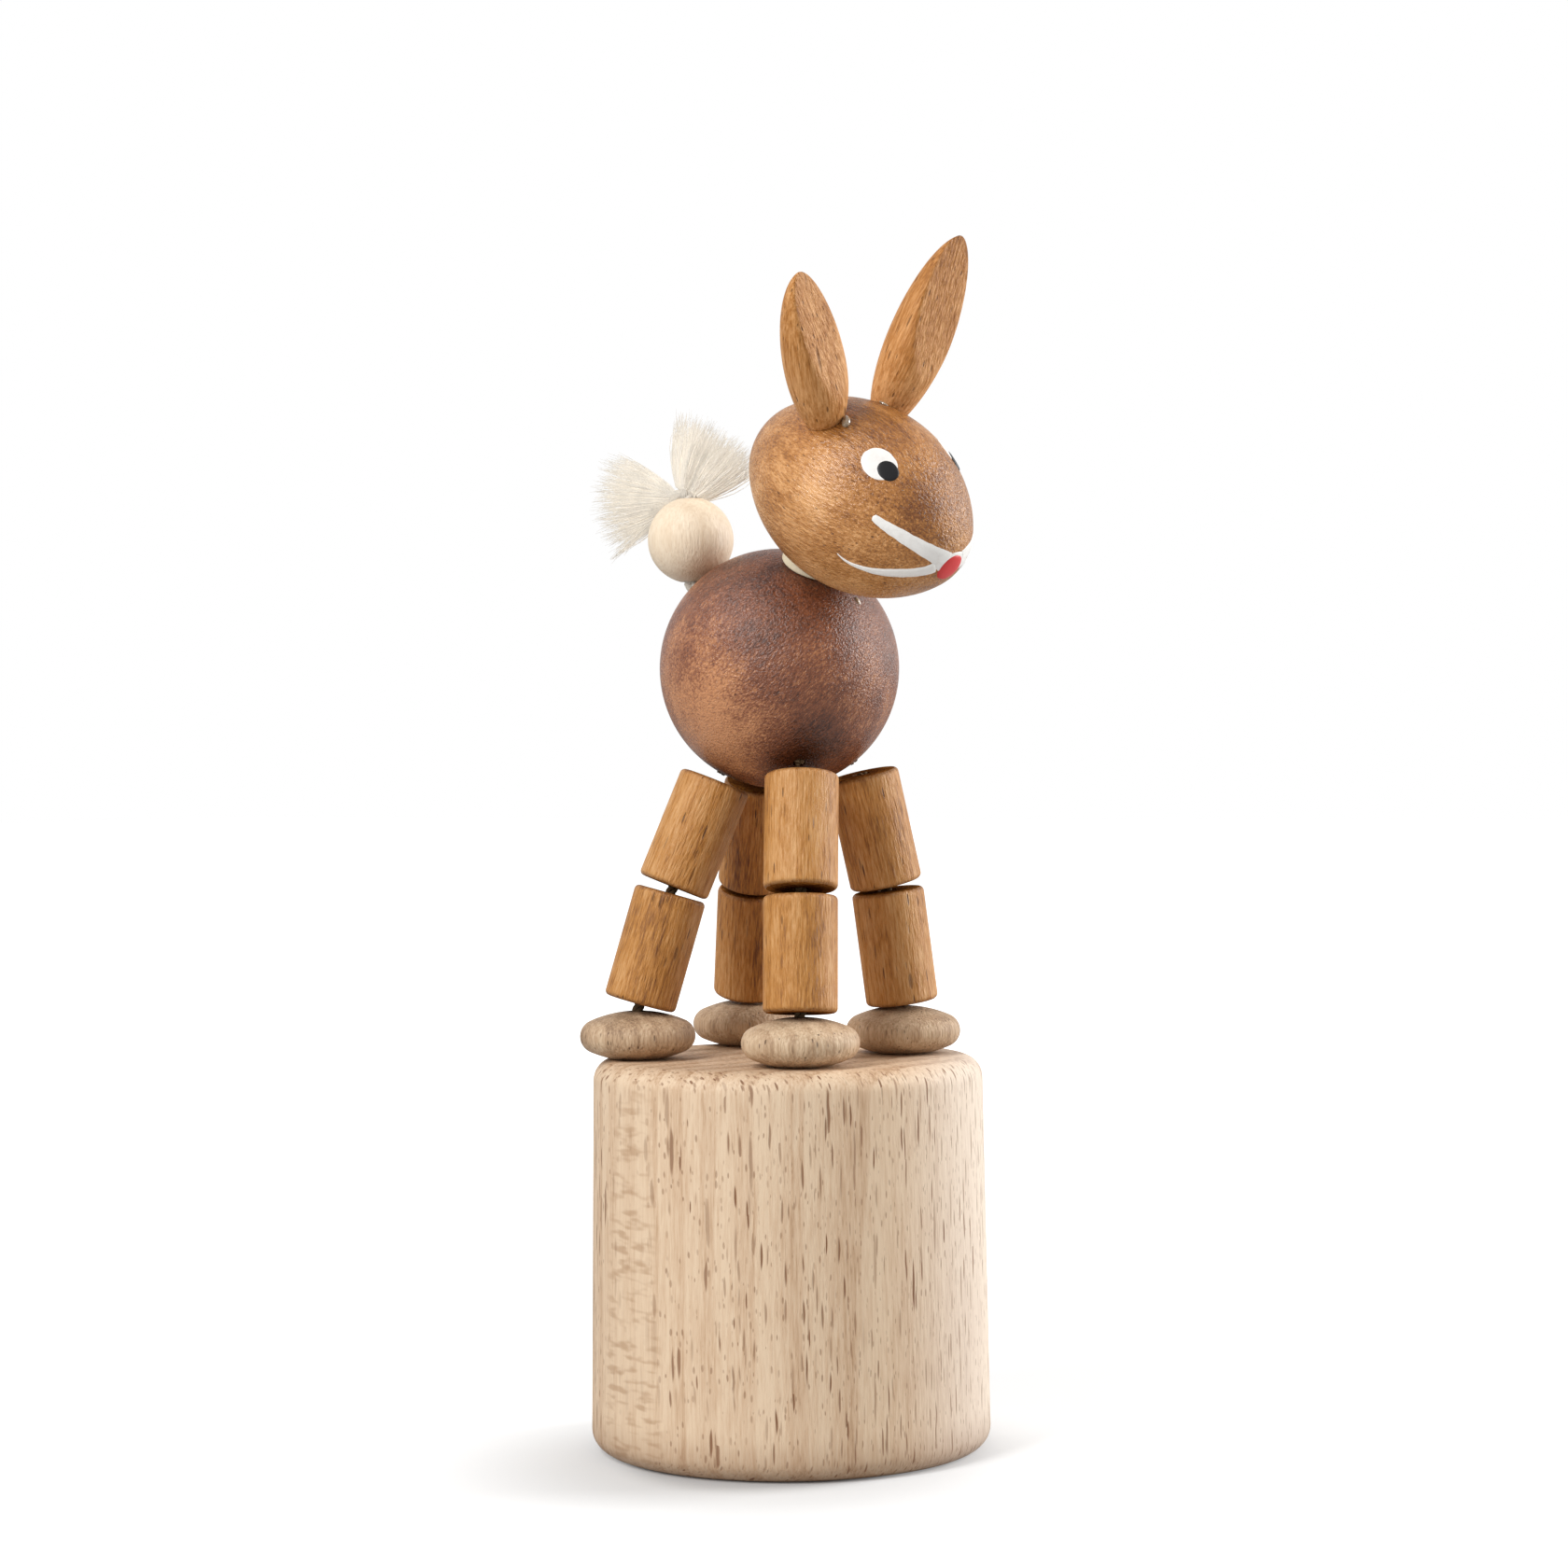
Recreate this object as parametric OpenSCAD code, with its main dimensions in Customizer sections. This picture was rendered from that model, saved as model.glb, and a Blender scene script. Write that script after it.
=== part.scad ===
// Wooden push puppet: a long-eared animal strung on cords over a hollow drum with a sprung button below.
// The animal faces +X, its left is +Y, and the drum's resting plane is Z = 0 on its axis.

/* [Drum] */
// Height of the drum
base_h = 37.4; // [34:0.2:44]
// Diameter of the drum at its top edge
base_top_d = 37.4; // [37:0.2:44]
// Diameter of the drum at its foot
base_foot_d = 38.4; // [37:0.2:46]
// Rounding of the drum's outer edges
base_edge_r = 2; // [0.6:0.1:2.4]
// Diameter of the bore that takes the button
bore_d = 31.2; // [30.8:0.1:32]
// Thickness of the wood over the bore
ceiling_t = 7; // [4:0.5:12]
// Chamfer at the mouth of the bore
mouth_chamfer = 0.6; // [0.2:0.1:0.8]

/* [Button] */
// Thickness of the button
button_t = 8; // [6:0.5:10]
// How far the button's face lies above the resting plane
button_recess = 4.6; // [4.2:0.1:8]
// Gap between the button and the bore, each side
button_gap = 0.2; // [0.1:0.05:0.4]
// Rounding of the button's edges
button_edge_r = 0.8; // [0.3:0.1:1.2]
// Diameter of the hollow for the thumb
dish_d = 12; // [8:0.5:14]
// Depth of the hollow for the thumb
dish_depth = 0.7; // [0.3:0.1:1.2]
// Distance of the cord anchors from the axis
anchor_r = 9.6; // [9.2:0.1:11]
// Diameter of the knot at each cord's end
knot_d = 2.6; // [2.2:0.1:3]
// Diameter of the post that centres the spring
post_d = 8.6; // [6:0.1:9]
// Height of the post that centres the spring
post_h = 2; // [1:0.1:4]

/* [Spring] */
// Diameter of the spring, wire centre to wire centre
spring_d = 11; // [10.5:0.1:13]
// Diameter of the wire
wire_d = 0.9; // [0.6:0.05:1]
// Number of curls
curls = 6; // [4:0.5:7]

/* [Feet] */
// Diameter of a foot
foot_d = 11.1; // [9.5:0.1:12]
// Height of a foot
foot_t = 4.6; // [4:0.1:5.4]
// Radius of a foot's rim
foot_rim_r = 1.6; // [0.9:0.05:1.8]
// Depth of the flat that a foot stands on
foot_flat = 0.25; // [0.1:0.05:0.4]
// Distance of the front feet ahead of the axis
front_foot_x = 7.6; // [7:0.1:8.6]
// Distance of a front foot from the middle plane
front_foot_y = 8.7; // [8.2:0.1:9.6]
// Distance of the rear feet behind the axis
rear_foot_x = 11.2; // [10.2:0.1:11.6]
// Distance of a rear foot from the middle plane
rear_foot_y = 9.1; // [8.6:0.1:9.6]

/* [Legs] */
// Diameter of a leg piece
leg_d = 7; // [5.6:0.1:7.4]
// Length of a leg piece
leg_l = 11; // [9:0.1:13]
// Rounding of a leg piece's ends
leg_edge_r = 0.45; // [0.2:0.05:0.8]
// Lean of the front shins
front_shin_lean = 7.8; // [4:0.1:10]
// Lean of the front thighs
front_thigh_lean = 13.2; // [10:0.1:16]
// Turn of the front legs' lean from the animal's length
front_turn = 60; // [50:1:66]
// Lean of the rear shins
rear_shin_lean = 16.5; // [12:0.1:18]
// Lean of the rear thighs
rear_thigh_lean = 22.7; // [18:0.1:24]
// Turn of the rear legs' lean from the animal's length
rear_turn = 44; // [40:1:50]
// Gap at the front ankles
front_ankle_gap = 0.35; // [0.3:0.05:0.7]
// Gap at the front knees
front_knee_gap = 0.6; // [0.5:0.05:0.8]
// Gap at the rear ankles
rear_ankle_gap = 0.7; // [0.6:0.05:0.9]
// Gap at the rear knees
rear_knee_gap = 0.65; // [0.6:0.05:0.9]

/* [Body] */
// Diameter of the ball
ball_d = 23.1; // [22:0.1:24]
// Distance of the ball's centre behind the drum's axis
ball_back = 0.55; // [0:0.05:1]
// Gap between the ball and the leg that it rests on
hip_gap = 0.3; // [0.25:0.05:0.5]
// Depth of the holes that the cords are glued into
socket_depth = 6; // [4:0.5:6.5]

/* [Cords] */
// Diameter of the leg cords
cord_d = 1.1; // [0.8:0.05:1.3]
// Gap between a cord and its hole, each side
cord_gap = 0.4; // [0.25:0.05:0.45]
// Gap between the ends of two stretches of one cord
cord_end_gap = 0.15; // [0.1:0.05:0.3]

/* [Neck] */
// Tilt of the neck from upright
neck_tilt = 32; // [26:0.5:38]
// Lean of the neck towards the animal's right
neck_side = 22.5; // [0:0.5:30]
// Diameter of the neck disc
neck_d = 6; // [5:0.1:7]
// Thickness of the neck disc
neck_t = 1.05; // [0.8:0.05:2]
// Rounding of the neck disc's edges
neck_edge_r = 0.25; // [0.1:0.05:0.4]
// Gap on each side of the neck disc
neck_gap = 0.12; // [0.08:0.02:0.3]
// Width of the flats beyond the neck disc, each side
neck_flat_margin = 0.15; // [0.1:0.05:0.3]

/* [Head] */
// Length of the head, crown to nose
head_l = 24.8; // [22:0.1:28]
// Diameter of the head
head_d = 17.5; // [16:0.1:19]
// Radius of the head's end at the nose
nose_r = 5.7; // [5:0.1:6.6]
// Radius of the head's end at the crown
crown_r = 6.3; // [5.4:0.1:7]
// Distance of the neck behind the middle of the head
neck_back = 3; // [1.5:0.1:4]
// Turn of the head on its neck, towards the animal's left
head_turn = 17; // [-30:1:30]

/* [Ears] */
// Length of the left ear above the head
ear_left_l = 17.7; // [14:0.1:21]
// Length of the right ear above the head
ear_right_l = 15.3; // [13:0.1:21]
// Width of an ear
ear_w = 6; // [5:0.1:7]
// Widest place of an ear, as a share of its length
ear_belly = 0.455; // [0.4:0.005:0.5]
// Depth that an ear's root is let into the head
ear_root = 1; // [0.6:0.1:1.6]
// Place of an ear behind the middle of the head
ear_back = 3.3; // [2:0.1:5]
// Place of an ear round the side of the head, from its top
ear_side = 34; // [30:1:42]
// Outward lean of an ear
ear_splay = 24; // [14:1:28]
// Backward lean of an ear
ear_rake = 10.3; // [6:0.1:20]
// Inward turn of an ear's flat face
ear_face_turn = 16; // [0:1:30]
// Distance of the flat's plane in front of the ear's axis at the root
ear_flat_root = 3.6; // [2:0.1:4]
// Distance of the flat's plane behind the ear's axis at the tip
ear_flat_tip = 0.4; // [0:0.1:0.8]
// Gap for the glue under an ear
glue_gap = 0.04; // [0.03:0.01:0.1]

/* [Tail] */
// Diameter of the tail bead
bead_d = 8.4; // [7:0.1:9]
// Gap between the tail bead and the ball
bead_gap = 0.35; // [0.3:0.05:0.6]
// Tilt of the tail bead from upright
tail_tilt = 37.5; // [30:0.5:45]
// Lean of the tail towards the animal's right
tail_side = 6; // [0:1:12]
// Diameter of the tail yarn
yarn_d = 1.6; // [1.2:0.1:1.9]
// Gap between the yarn and the bead's hole, each side
yarn_gap = 0.3; // [0.2:0.05:0.4]
// Length of the tuft's bunch that points back
tuft_back_l = 10.8; // [8:0.1:12]
// Length of the tuft's bunch that points up
tuft_top_l = 6.6; // [5:0.1:9]
// Width of a bunch at its end
tuft_w = 9.4; // [7:0.1:11]
// Thickness of a bunch at its end
tuft_t = 5.2; // [3:0.1:6]
// Width of a bunch at its root
tuft_root_w = 1.4; // [1:0.1:1.8]

/* [Hidden] */
$fn = 64;
ARC_STEPS = 9;

LEGS = [["front_right", 1, -1], ["front_left", 1, 1], ["rear_right", -1, -1], ["rear_left", -1, 1]];
EARS = [["ear_right", -1], ["ear_left", 1]];

// How far a cut runs past the face that it opens
cut_spare = 1;

// Vectors
UP = [0, 0, 1];
function unit(v) = v / norm(v);
function rounded(centre, r, from, to) =
    [for (i = [0:ARC_STEPS]) let (a = from + (to - from) * i / ARC_STEPS) centre + r * [cos(a), sin(a)]];

// Drum and button heights
ceiling_z = base_h - ceiling_t;
button_z = button_recess;
button_top = button_z + button_t;
cord_hole_d = cord_d + 2 * cord_gap;
knot_pocket_d = knot_d + 2 * cord_gap;
knot_pocket_h = knot_d + cord_gap;

// Feet and legs, worked out from the drum's top upwards
function front(leg) = leg[1] > 0;
function foot_at(leg) = front(leg) ? [front_foot_x, leg[2] * front_foot_y, base_h]
                                   : [-rear_foot_x, leg[2] * rear_foot_y, base_h];
function inward(leg) = let (turn = front(leg) ? front_turn : rear_turn)
    [-leg[1] * cos(turn), -leg[2] * sin(turn), 0];
function leaning(leg, lean) = inward(leg) * sin(lean) + UP * cos(lean);
function shin_way(leg) = leaning(leg, front(leg) ? front_shin_lean : rear_shin_lean);
function thigh_way(leg) = leaning(leg, front(leg) ? front_thigh_lean : rear_thigh_lean);
function ankle_gap(leg) = front(leg) ? front_ankle_gap : rear_ankle_gap;
function knee_gap(leg) = front(leg) ? front_knee_gap : rear_knee_gap;
function foot_top(leg) = foot_at(leg) + UP * foot_t;
function shin_end(leg) = foot_top(leg) + shin_way(leg) * ankle_gap(leg);
function shin_top(leg) = shin_end(leg) + shin_way(leg) * leg_l;
function knee(leg) = shin_top(leg) + (shin_way(leg) + thigh_way(leg)) / 4 * knee_gap(leg);
function thigh_end(leg) = shin_top(leg) + (shin_way(leg) + thigh_way(leg)) / 2 * knee_gap(leg);
function thigh_top(leg) = thigh_end(leg) + thigh_way(leg) * leg_l;

// The ball rests in the cradle of the four leg tops
ball_r = ball_d / 2;
rest_r = ball_r + hip_gap;
RIM_STEP = 10;
function across(way) = unit(cross(way, [0, 1, 0]));
function rim_point(leg, a) = let (way = thigh_way(leg), u = across(way), v = cross(way, u))
    thigh_top(leg) + (u * cos(a) + v * sin(a)) * leg_d / 2;
function height_on(p) = let (room = rest_r ^ 2 - (p.x + ball_back) ^ 2 - p.y ^ 2)
    p.z + (room > 0 ? sqrt(room) : 0);
ball_z = max([for (leg = LEGS, a = [0:RIM_STEP:360 - RIM_STEP]) height_on(rim_point(leg, a))]);
ball_at = [-ball_back, 0, ball_z];
function hip_way(leg) = unit(thigh_top(leg) - ball_at);

// Neck and head: the head's own axes are nose, left and crown
function polar(tilt, turn) = [sin(tilt) * cos(turn), sin(tilt) * sin(turn), cos(tilt)];
neck_way = polar(neck_tilt, -neck_side);
ahead = polar(neck_tilt + 90, -neck_side);
nose_way = ahead * cos(head_turn) + cross(neck_way, ahead) * sin(head_turn);
left_way = cross(neck_way, nose_way);
neck_flat_r = neck_d / 2 + neck_flat_margin;
ball_flat = sqrt(ball_r ^ 2 - neck_flat_r ^ 2);
function side_offset(reach, end_r) =
    ((reach - end_r) ^ 2 - (head_d / 2 - end_r) ^ 2) / (2 * (head_d / 2 - end_r));
function head_r_at(back) = let (k = side_offset(head_l / 2, crown_r))
    sqrt((head_d / 2 + k) ^ 2 - back ^ 2) - k;
head_flat = sqrt(head_r_at(neck_back) ^ 2 - neck_flat_r ^ 2);
neck_at = ball_at + neck_way * (ball_flat + neck_gap);
head_at = neck_at + neck_way * (neck_t + neck_gap + head_flat) + nose_way * neck_back;

// Tail
bead_r = bead_d / 2;
yarn_hole_d = yarn_d + 2 * yarn_gap;
bead_at = ball_at + polar(tail_tilt, 180 + tail_side) * (ball_r + bead_gap + bead_r);
bead_foot = bead_at - UP * bead_r;
bead_crown = bead_at + UP * bead_r;
tail_way = unit(bead_foot - ball_at);
tail_root = ball_at + tail_way * ball_r;
// Placing
module facing(at, way) {
    translate(at) rotate([0, acos(way.z), atan2(way.y, way.x)]) children();
}
module on_head() {
    n = nose_way;
    l = left_way;
    u = neck_way;
    c = head_at;
    multmatrix([[n.x, l.x, u.x, c.x], [n.y, l.y, u.y, c.y], [n.z, l.z, u.z, c.z], [0, 0, 0, 1]]) children();
}

// A closed skin over rings of points, each ring turning anticlockwise about the way to the next
module loft(rings) {
    n = len(rings[0]);
    last = len(rings) - 1;
    points = [for (ring = rings) each ring];
    walls = [for (i = [0:last - 1], k = [0:n - 1]) let (a = i * n + k, b = i * n + (k + 1) % n)
        each [[a, a + n, b], [b, a + n, b + n]]];
    caps = [for (k = [1:n - 2]) each [[0, k, k + 1], [last * n, last * n + k + 1, last * n + k]]];
    polyhedron(points, concat(walls, caps));
}
function ring(at, u, v, n) = [for (k = [0:n - 1]) let (a = 360 * k / n) at + u * cos(a) + v * sin(a)];

// Rings for a round tube along a path
function tube(path, d, sides, ref) = let (last = len(path) - 1)
    [for (i = [0:last]) let (w = unit(path[min(i + 1, last)] - path[max(i - 1, 0)]), u = unit(cross(w, ref)))
        ring(path[i], u * d / 2, cross(w, u) * d / 2, sides)];

// A round stick from one point to another
module stick(from, to, d) {
    facing(from, unit(to - from)) cylinder(d = d, h = norm(to - from));
}

// Half of an egg's outline, from its waist to one end, drawn with two arcs
function half_egg(reach, r, end_r) = let (
        k = ((reach - end_r) ^ 2 - (r - end_r) ^ 2) / (2 * (r - end_r)),
        meet = atan2(reach - end_r, k))
    concat(rounded([-k, 0], r + k, 0, meet),
           [for (i = [1:ARC_STEPS]) let (a = meet + (90 - meet) * i / ARC_STEPS)
               [end_r * cos(a) * (i < ARC_STEPS ? 1 : 0), reach - end_r + end_r * sin(a)]]);
function backwards(points) = [for (i = [len(points) - 1:-1:0]) points[i]];
function flipped(points) = [for (p = points) [p.x, -p.y]];
function swapped(points) = [for (p = points) [p.y, p.x]];
function tail_of(points) = [for (i = [1:len(points) - 1]) points[i]];

// Drum
module drum() {
    color("burlywood") difference() {
        rotate_extrude() polygon(concat(
            [[0, ceiling_z], [bore_d / 2, ceiling_z], [bore_d / 2, mouth_chamfer],
             [bore_d / 2 + mouth_chamfer, 0]],
            rounded([base_foot_d / 2 - base_edge_r, base_edge_r], base_edge_r, -90, 0),
            rounded([base_top_d / 2 - base_edge_r, base_h - base_edge_r], base_edge_r, 0, 90),
            [[0, base_h]]));
        for (leg = LEGS)
            translate([foot_at(leg).x, foot_at(leg).y, ceiling_z - cut_spare])
                cylinder(d = cord_hole_d, h = ceiling_t + 2 * cut_spare);
    }
}

function anchor(leg) = let (p = foot_at(leg)) unit([p.x, p.y, 0]) * anchor_r;

// Push button with a post for the spring, cord holes and pockets for the knots
module button() {
    r = bore_d / 2 - button_gap;
    dish_r = (dish_d ^ 2 / 4 + dish_depth ^ 2) / (2 * dish_depth);
    color("tan") difference() {
        translate([0, 0, button_z]) rotate_extrude() polygon(concat(
            [[0, 0]],
            rounded([r - button_edge_r, button_edge_r], button_edge_r, -90, 0),
            rounded([r - button_edge_r, button_t - button_edge_r], button_edge_r, 0, 90),
            [[post_d / 2, button_t], [post_d / 2, button_t + post_h], [0, button_t + post_h]]));
        translate([0, 0, button_z + dish_depth - dish_r]) sphere(r = dish_r, $fn = 200);
        for (leg = LEGS) translate(anchor(leg) + UP * button_z) {
            translate([0, 0, -cut_spare]) {
                cylinder(d = cord_hole_d, h = button_t + 2 * cut_spare);
                cylinder(d = knot_pocket_d, h = knot_pocket_h + cut_spare);
            }
        }
    }
}

module cord_knots() {
    knot_z = button_z + knot_pocket_h - (knot_d + cord_end_gap) / 2;
    color("ivory") for (leg = LEGS) translate(anchor(leg) + UP * knot_z) sphere(d = knot_d);
}

// Compression spring between the button and the ceiling
CURL_RINGS = 16;
WIRE_SIDES = 6;
SEAT_GAP = 0.05;
spring_low = button_top + wire_d / 2 + SEAT_GAP;
spring_rise = ceiling_z - button_top - wire_d - 2 * SEAT_GAP;
spring_path = [for (i = [0:curls * CURL_RINGS]) let (a = 360 * i / CURL_RINGS)
    [spring_d / 2 * cos(a), spring_d / 2 * sin(a), spring_low + spring_rise * i / (curls * CURL_RINGS)]];
spring_end = len(spring_path) - 1;
echo(spring_gap_to_itself = min([for (i = [0:spring_end], j = [i + CURL_RINGS / 2:spring_end])
    norm(spring_path[j] - spring_path[i])]) - wire_d);
module spring() {
    color("silver") loft(tube(spring_path, wire_d, WIRE_SIDES, UP));
}

// Cords inside the drum, from the knots up to the ceiling
CORD_SIDES = 8;
module drum_cords() {
    color("ivory") for (leg = LEGS) {
        a = anchor(leg);
        top = foot_at(leg);
        loft(tube([a + UP * (button_z + knot_pocket_h + cord_end_gap), a + UP * button_top,
                   [top.x, top.y, ceiling_z - cord_d], [top.x, top.y, ceiling_z - cord_end_gap]],
                  cord_d, CORD_SIDES, [1, 0, 0]));
    }
}

// Cords through the ceiling and the feet
module foot_cords() {
    color("ivory") for (leg = LEGS)
        stick([foot_at(leg).x, foot_at(leg).y, ceiling_z], foot_top(leg), cord_d);
}

// Lentil-shaped foot
module foot(leg) {
    half = (foot_t + foot_flat) / 2;
    dome = swapped(half_egg(foot_d / 2, half, foot_rim_r));
    color("rosybrown") translate(foot_at(leg)) difference() {
        translate([0, 0, half - foot_flat])
            rotate_extrude() polygon(concat(dome, tail_of(backwards(flipped(dome)))));
        translate([0, 0, -half]) cylinder(d = foot_d, h = half);
        translate([0, 0, -cut_spare]) cylinder(d = cord_hole_d, h = foot_t + 2 * cut_spare);
    }
}

// Leg piece: a turned stick with eased ends and a hole for the cord
module leg_piece(end, way) {
    color("peru") facing(end, way) difference() {
        rotate_extrude() polygon(concat(
            [[0, 0]],
            rounded([leg_d / 2 - leg_edge_r, leg_edge_r], leg_edge_r, -90, 0),
            rounded([leg_d / 2 - leg_edge_r, leg_l - leg_edge_r], leg_edge_r, 0, 90),
            [[0, leg_l]]));
        translate([0, 0, -cut_spare]) cylinder(d = cord_hole_d, h = leg_l + 2 * cut_spare);
    }
}
module shin(leg) { leg_piece(shin_end(leg), shin_way(leg)); }
module thigh(leg) { leg_piece(thigh_end(leg), thigh_way(leg)); }
module shin_cord(leg) { color("ivory") stick(shin_end(leg), shin_top(leg), cord_d); }
module thigh_cord(leg) { color("ivory") stick(thigh_end(leg), thigh_top(leg), cord_d); }

// Ball with blind holes for the cords and a flat for the neck disc
module body_ball() {
    color("sienna") difference() {
        translate(ball_at) sphere(r = ball_r, $fn = 96);
        for (leg = LEGS) facing(ball_at, hip_way(leg)) socket(ball_r, cord_hole_d);
        facing(ball_at, tail_way) socket(ball_r, yarn_hole_d);
        facing(ball_at, neck_way) {
            translate([0, 0, ball_flat]) cylinder(d = 2 * neck_d, h = ball_r);
            socket(ball_flat, cord_hole_d);
        }
    }
}
module socket(mouth, d) {
    translate([0, 0, mouth - socket_depth]) cylinder(d = d, h = socket_depth + cut_spare);
}
module glued_end(at, way, mouth, d) {
    stick(at + way * (mouth - socket_depth + cord_end_gap), at + way * mouth, d);
}
module body_cords() {
    color("ivory") {
        for (leg = LEGS) glued_end(ball_at, hip_way(leg), ball_r, cord_d);
        glued_end(ball_at, neck_way, ball_flat, cord_d);
        glued_end(ball_at, tail_way, ball_r, yarn_d);
    }
}

// Neck disc between the flats on the ball and the head
module neck_disc() {
    color("cornsilk") facing(neck_at, neck_way) difference() {
        rotate_extrude() polygon(concat(
            [[0, 0]],
            rounded([neck_d / 2 - neck_edge_r, neck_edge_r], neck_edge_r, -90, 0),
            rounded([neck_d / 2 - neck_edge_r, neck_t - neck_edge_r], neck_edge_r, 0, 90),
            [[0, neck_t]]));
        translate([0, 0, -cut_spare]) cylinder(d = cord_hole_d, h = neck_t + 2 * cut_spare);
    }
}
module head_cord() {
    reach = neck_t + neck_gap + socket_depth - cord_end_gap;
    color("ivory") stick(neck_at, neck_at + neck_way * reach, cord_d);
}

// Egg-shaped head, in its own axes with the nose along X
module head_form(grow) {
    nose_half = half_egg(head_l / 2 + grow, head_d / 2 + grow, nose_r + grow);
    crown_half = half_egg(head_l / 2 + grow, head_d / 2 + grow, crown_r + grow);
    rotate([0, 90, 0]) rotate_extrude() polygon(concat(backwards(flipped(crown_half)), tail_of(nose_half)));
}
module head() {
    color("peru") on_head() difference() {
        head_form(0);
        translate([-neck_back, 0, -head_d]) cylinder(r = neck_flat_r, h = head_d - head_flat);
        translate([-neck_back, 0, -head_flat - cut_spare])
            cylinder(d = cord_hole_d, h = socket_depth + cut_spare);
    }
}

// Ear: a turned spindle with a slanting flat planed off its front, its root cut to the head
EAR_STEPS = 18;
EAR_ROOT_REACH = 0.52;
EAR_ROOT_POWER = 0.54;
EAR_TIP_POWER = 0.53;
function ear_r(s) = s < ear_belly
    ? ear_w / 2 * (1 - ((ear_belly - s) / EAR_ROOT_REACH) ^ 2) ^ EAR_ROOT_POWER
    : ear_w / 2 * max(0, 1 - ((s - ear_belly) / (1 - ear_belly)) ^ 2) ^ EAR_TIP_POWER;
module ear(side) {
    l = (side > 0 ? ear_left_l : ear_right_l) + ear_root;
    r = head_r_at(ear_back) - ear_root;
    c = [-ear_back, side * r * sin(ear_side), r * cos(ear_side)];
    w = unit([-tan(ear_rake), side * tan(ear_splay), 1]);
    face = [cos(ear_face_turn), -side * sin(ear_face_turn), 0];
    u = unit(face - w * (face * w));
    v = cross(w, u);
    color("peru") on_head() difference() {
        multmatrix([[u.x, v.x, w.x, c.x], [u.y, v.y, w.y, c.y], [u.z, v.z, w.z, c.z], [0, 0, 0, 1]])
            difference() {
                rotate_extrude() polygon(concat(
                    [[0, 0]],
                    [for (i = [0:EAR_STEPS]) let (s = (1 - cos(180 * i / EAR_STEPS)) / 2)
                        [ear_r(s), s * l]]));
                translate([ear_flat_root, 0, 0]) rotate([0, -atan((ear_flat_root + ear_flat_tip) / l), 0])
                    translate([0, -ear_w, -ear_w]) cube([2 * ear_w, 2 * ear_w, l + 2 * ear_w]);
            }
        head_form(glue_gap);
    }
}

// Tail: a bead on yarn that frays into two bunches
module tail_bead() {
    color("wheat") translate(bead_at) difference() {
        sphere(r = bead_r);
        translate([0, 0, -bead_d]) cylinder(d = yarn_hole_d, h = 2 * bead_d);
    }
}
YARN_SIDES = 12;
yarn_foot_gap = yarn_gap + cord_end_gap;
module tail_yarn() {
    color("ivory") loft(tube([bead_crown + UP * yarn_gap, bead_foot, tail_root + tail_way * yarn_foot_gap],
                             yarn_d, YARN_SIDES, [0, 1, 0]));
}
TUFT_RINGS = 8;
TUFT_SIDES = 14;
TUFT_FLARE = 1.3;
TUFT_END_SHARE = 0.8;
TUFT_END_RISE = 0.08;
// Each bunch: its root over the bead, the way it points, the way it spreads and its length
BUNCHES = [
    [[-0.9, -0.1, 1], [-0.985, 0.1, -0.14], UP, tuft_back_l],
    [[0.35, 0.45, 1], [0.3, 0.45, 0.84], [-0.69, -0.49, 0.53], tuft_top_l],
];
function bunch_rings(b) = let (
        w = unit(b[1]), u = unit(b[2] - w * (b[2] * w)), v = cross(w, u), at = bead_crown + b[0], l = b[3])
    concat([for (i = [0:TUFT_RINGS]) let (s = i / TUFT_RINGS, f = s ^ TUFT_FLARE)
               ring(at + w * l * s, u * (tuft_root_w + (tuft_w - tuft_root_w) * f) / 2,
                    v * (tuft_root_w + (tuft_t - tuft_root_w) * f) / 2, TUFT_SIDES)],
           [ring(at + w * l * (1 + TUFT_END_RISE), u * tuft_w * TUFT_END_SHARE / 2,
                 v * tuft_t * TUFT_END_SHARE / 2, TUFT_SIDES)]);
module tail_tuft() {
    color("ivory") for (bunch = BUNCHES) loft(bunch_rings(bunch));
}

// Points and ways that the moving pieces turn on
for (leg = LEGS) echo(leg = leg[0], foot_top = foot_top(leg), shin = shin_way(leg), thigh = thigh_way(leg),
                      inward = inward(leg), knee = knee(leg));
echo(ball = ball_at, neck = neck_at, neck_way = neck_way, nose_way = nose_way, left_way = left_way,
     head = head_at, bead = bead_at, tail_root = tail_root);

drum();
button();
spring();
cord_knots();
drum_cords();
foot_cords();
for (leg = LEGS) {
    foot(leg);
    shin(leg);
    thigh(leg);
    shin_cord(leg);
    thigh_cord(leg);
}
body_ball();
body_cords();
neck_disc();
head();
head_cord();
for (e = EARS) ear(e[1]);
tail_bead();
tail_yarn();
tail_tuft();
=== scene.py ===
"""Wooden push puppet: the looks of its pieces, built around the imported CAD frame."""

import math
import random
from types import SimpleNamespace

import bmesh
import bpy
from mathutils import Matrix, Vector, noise


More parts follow.
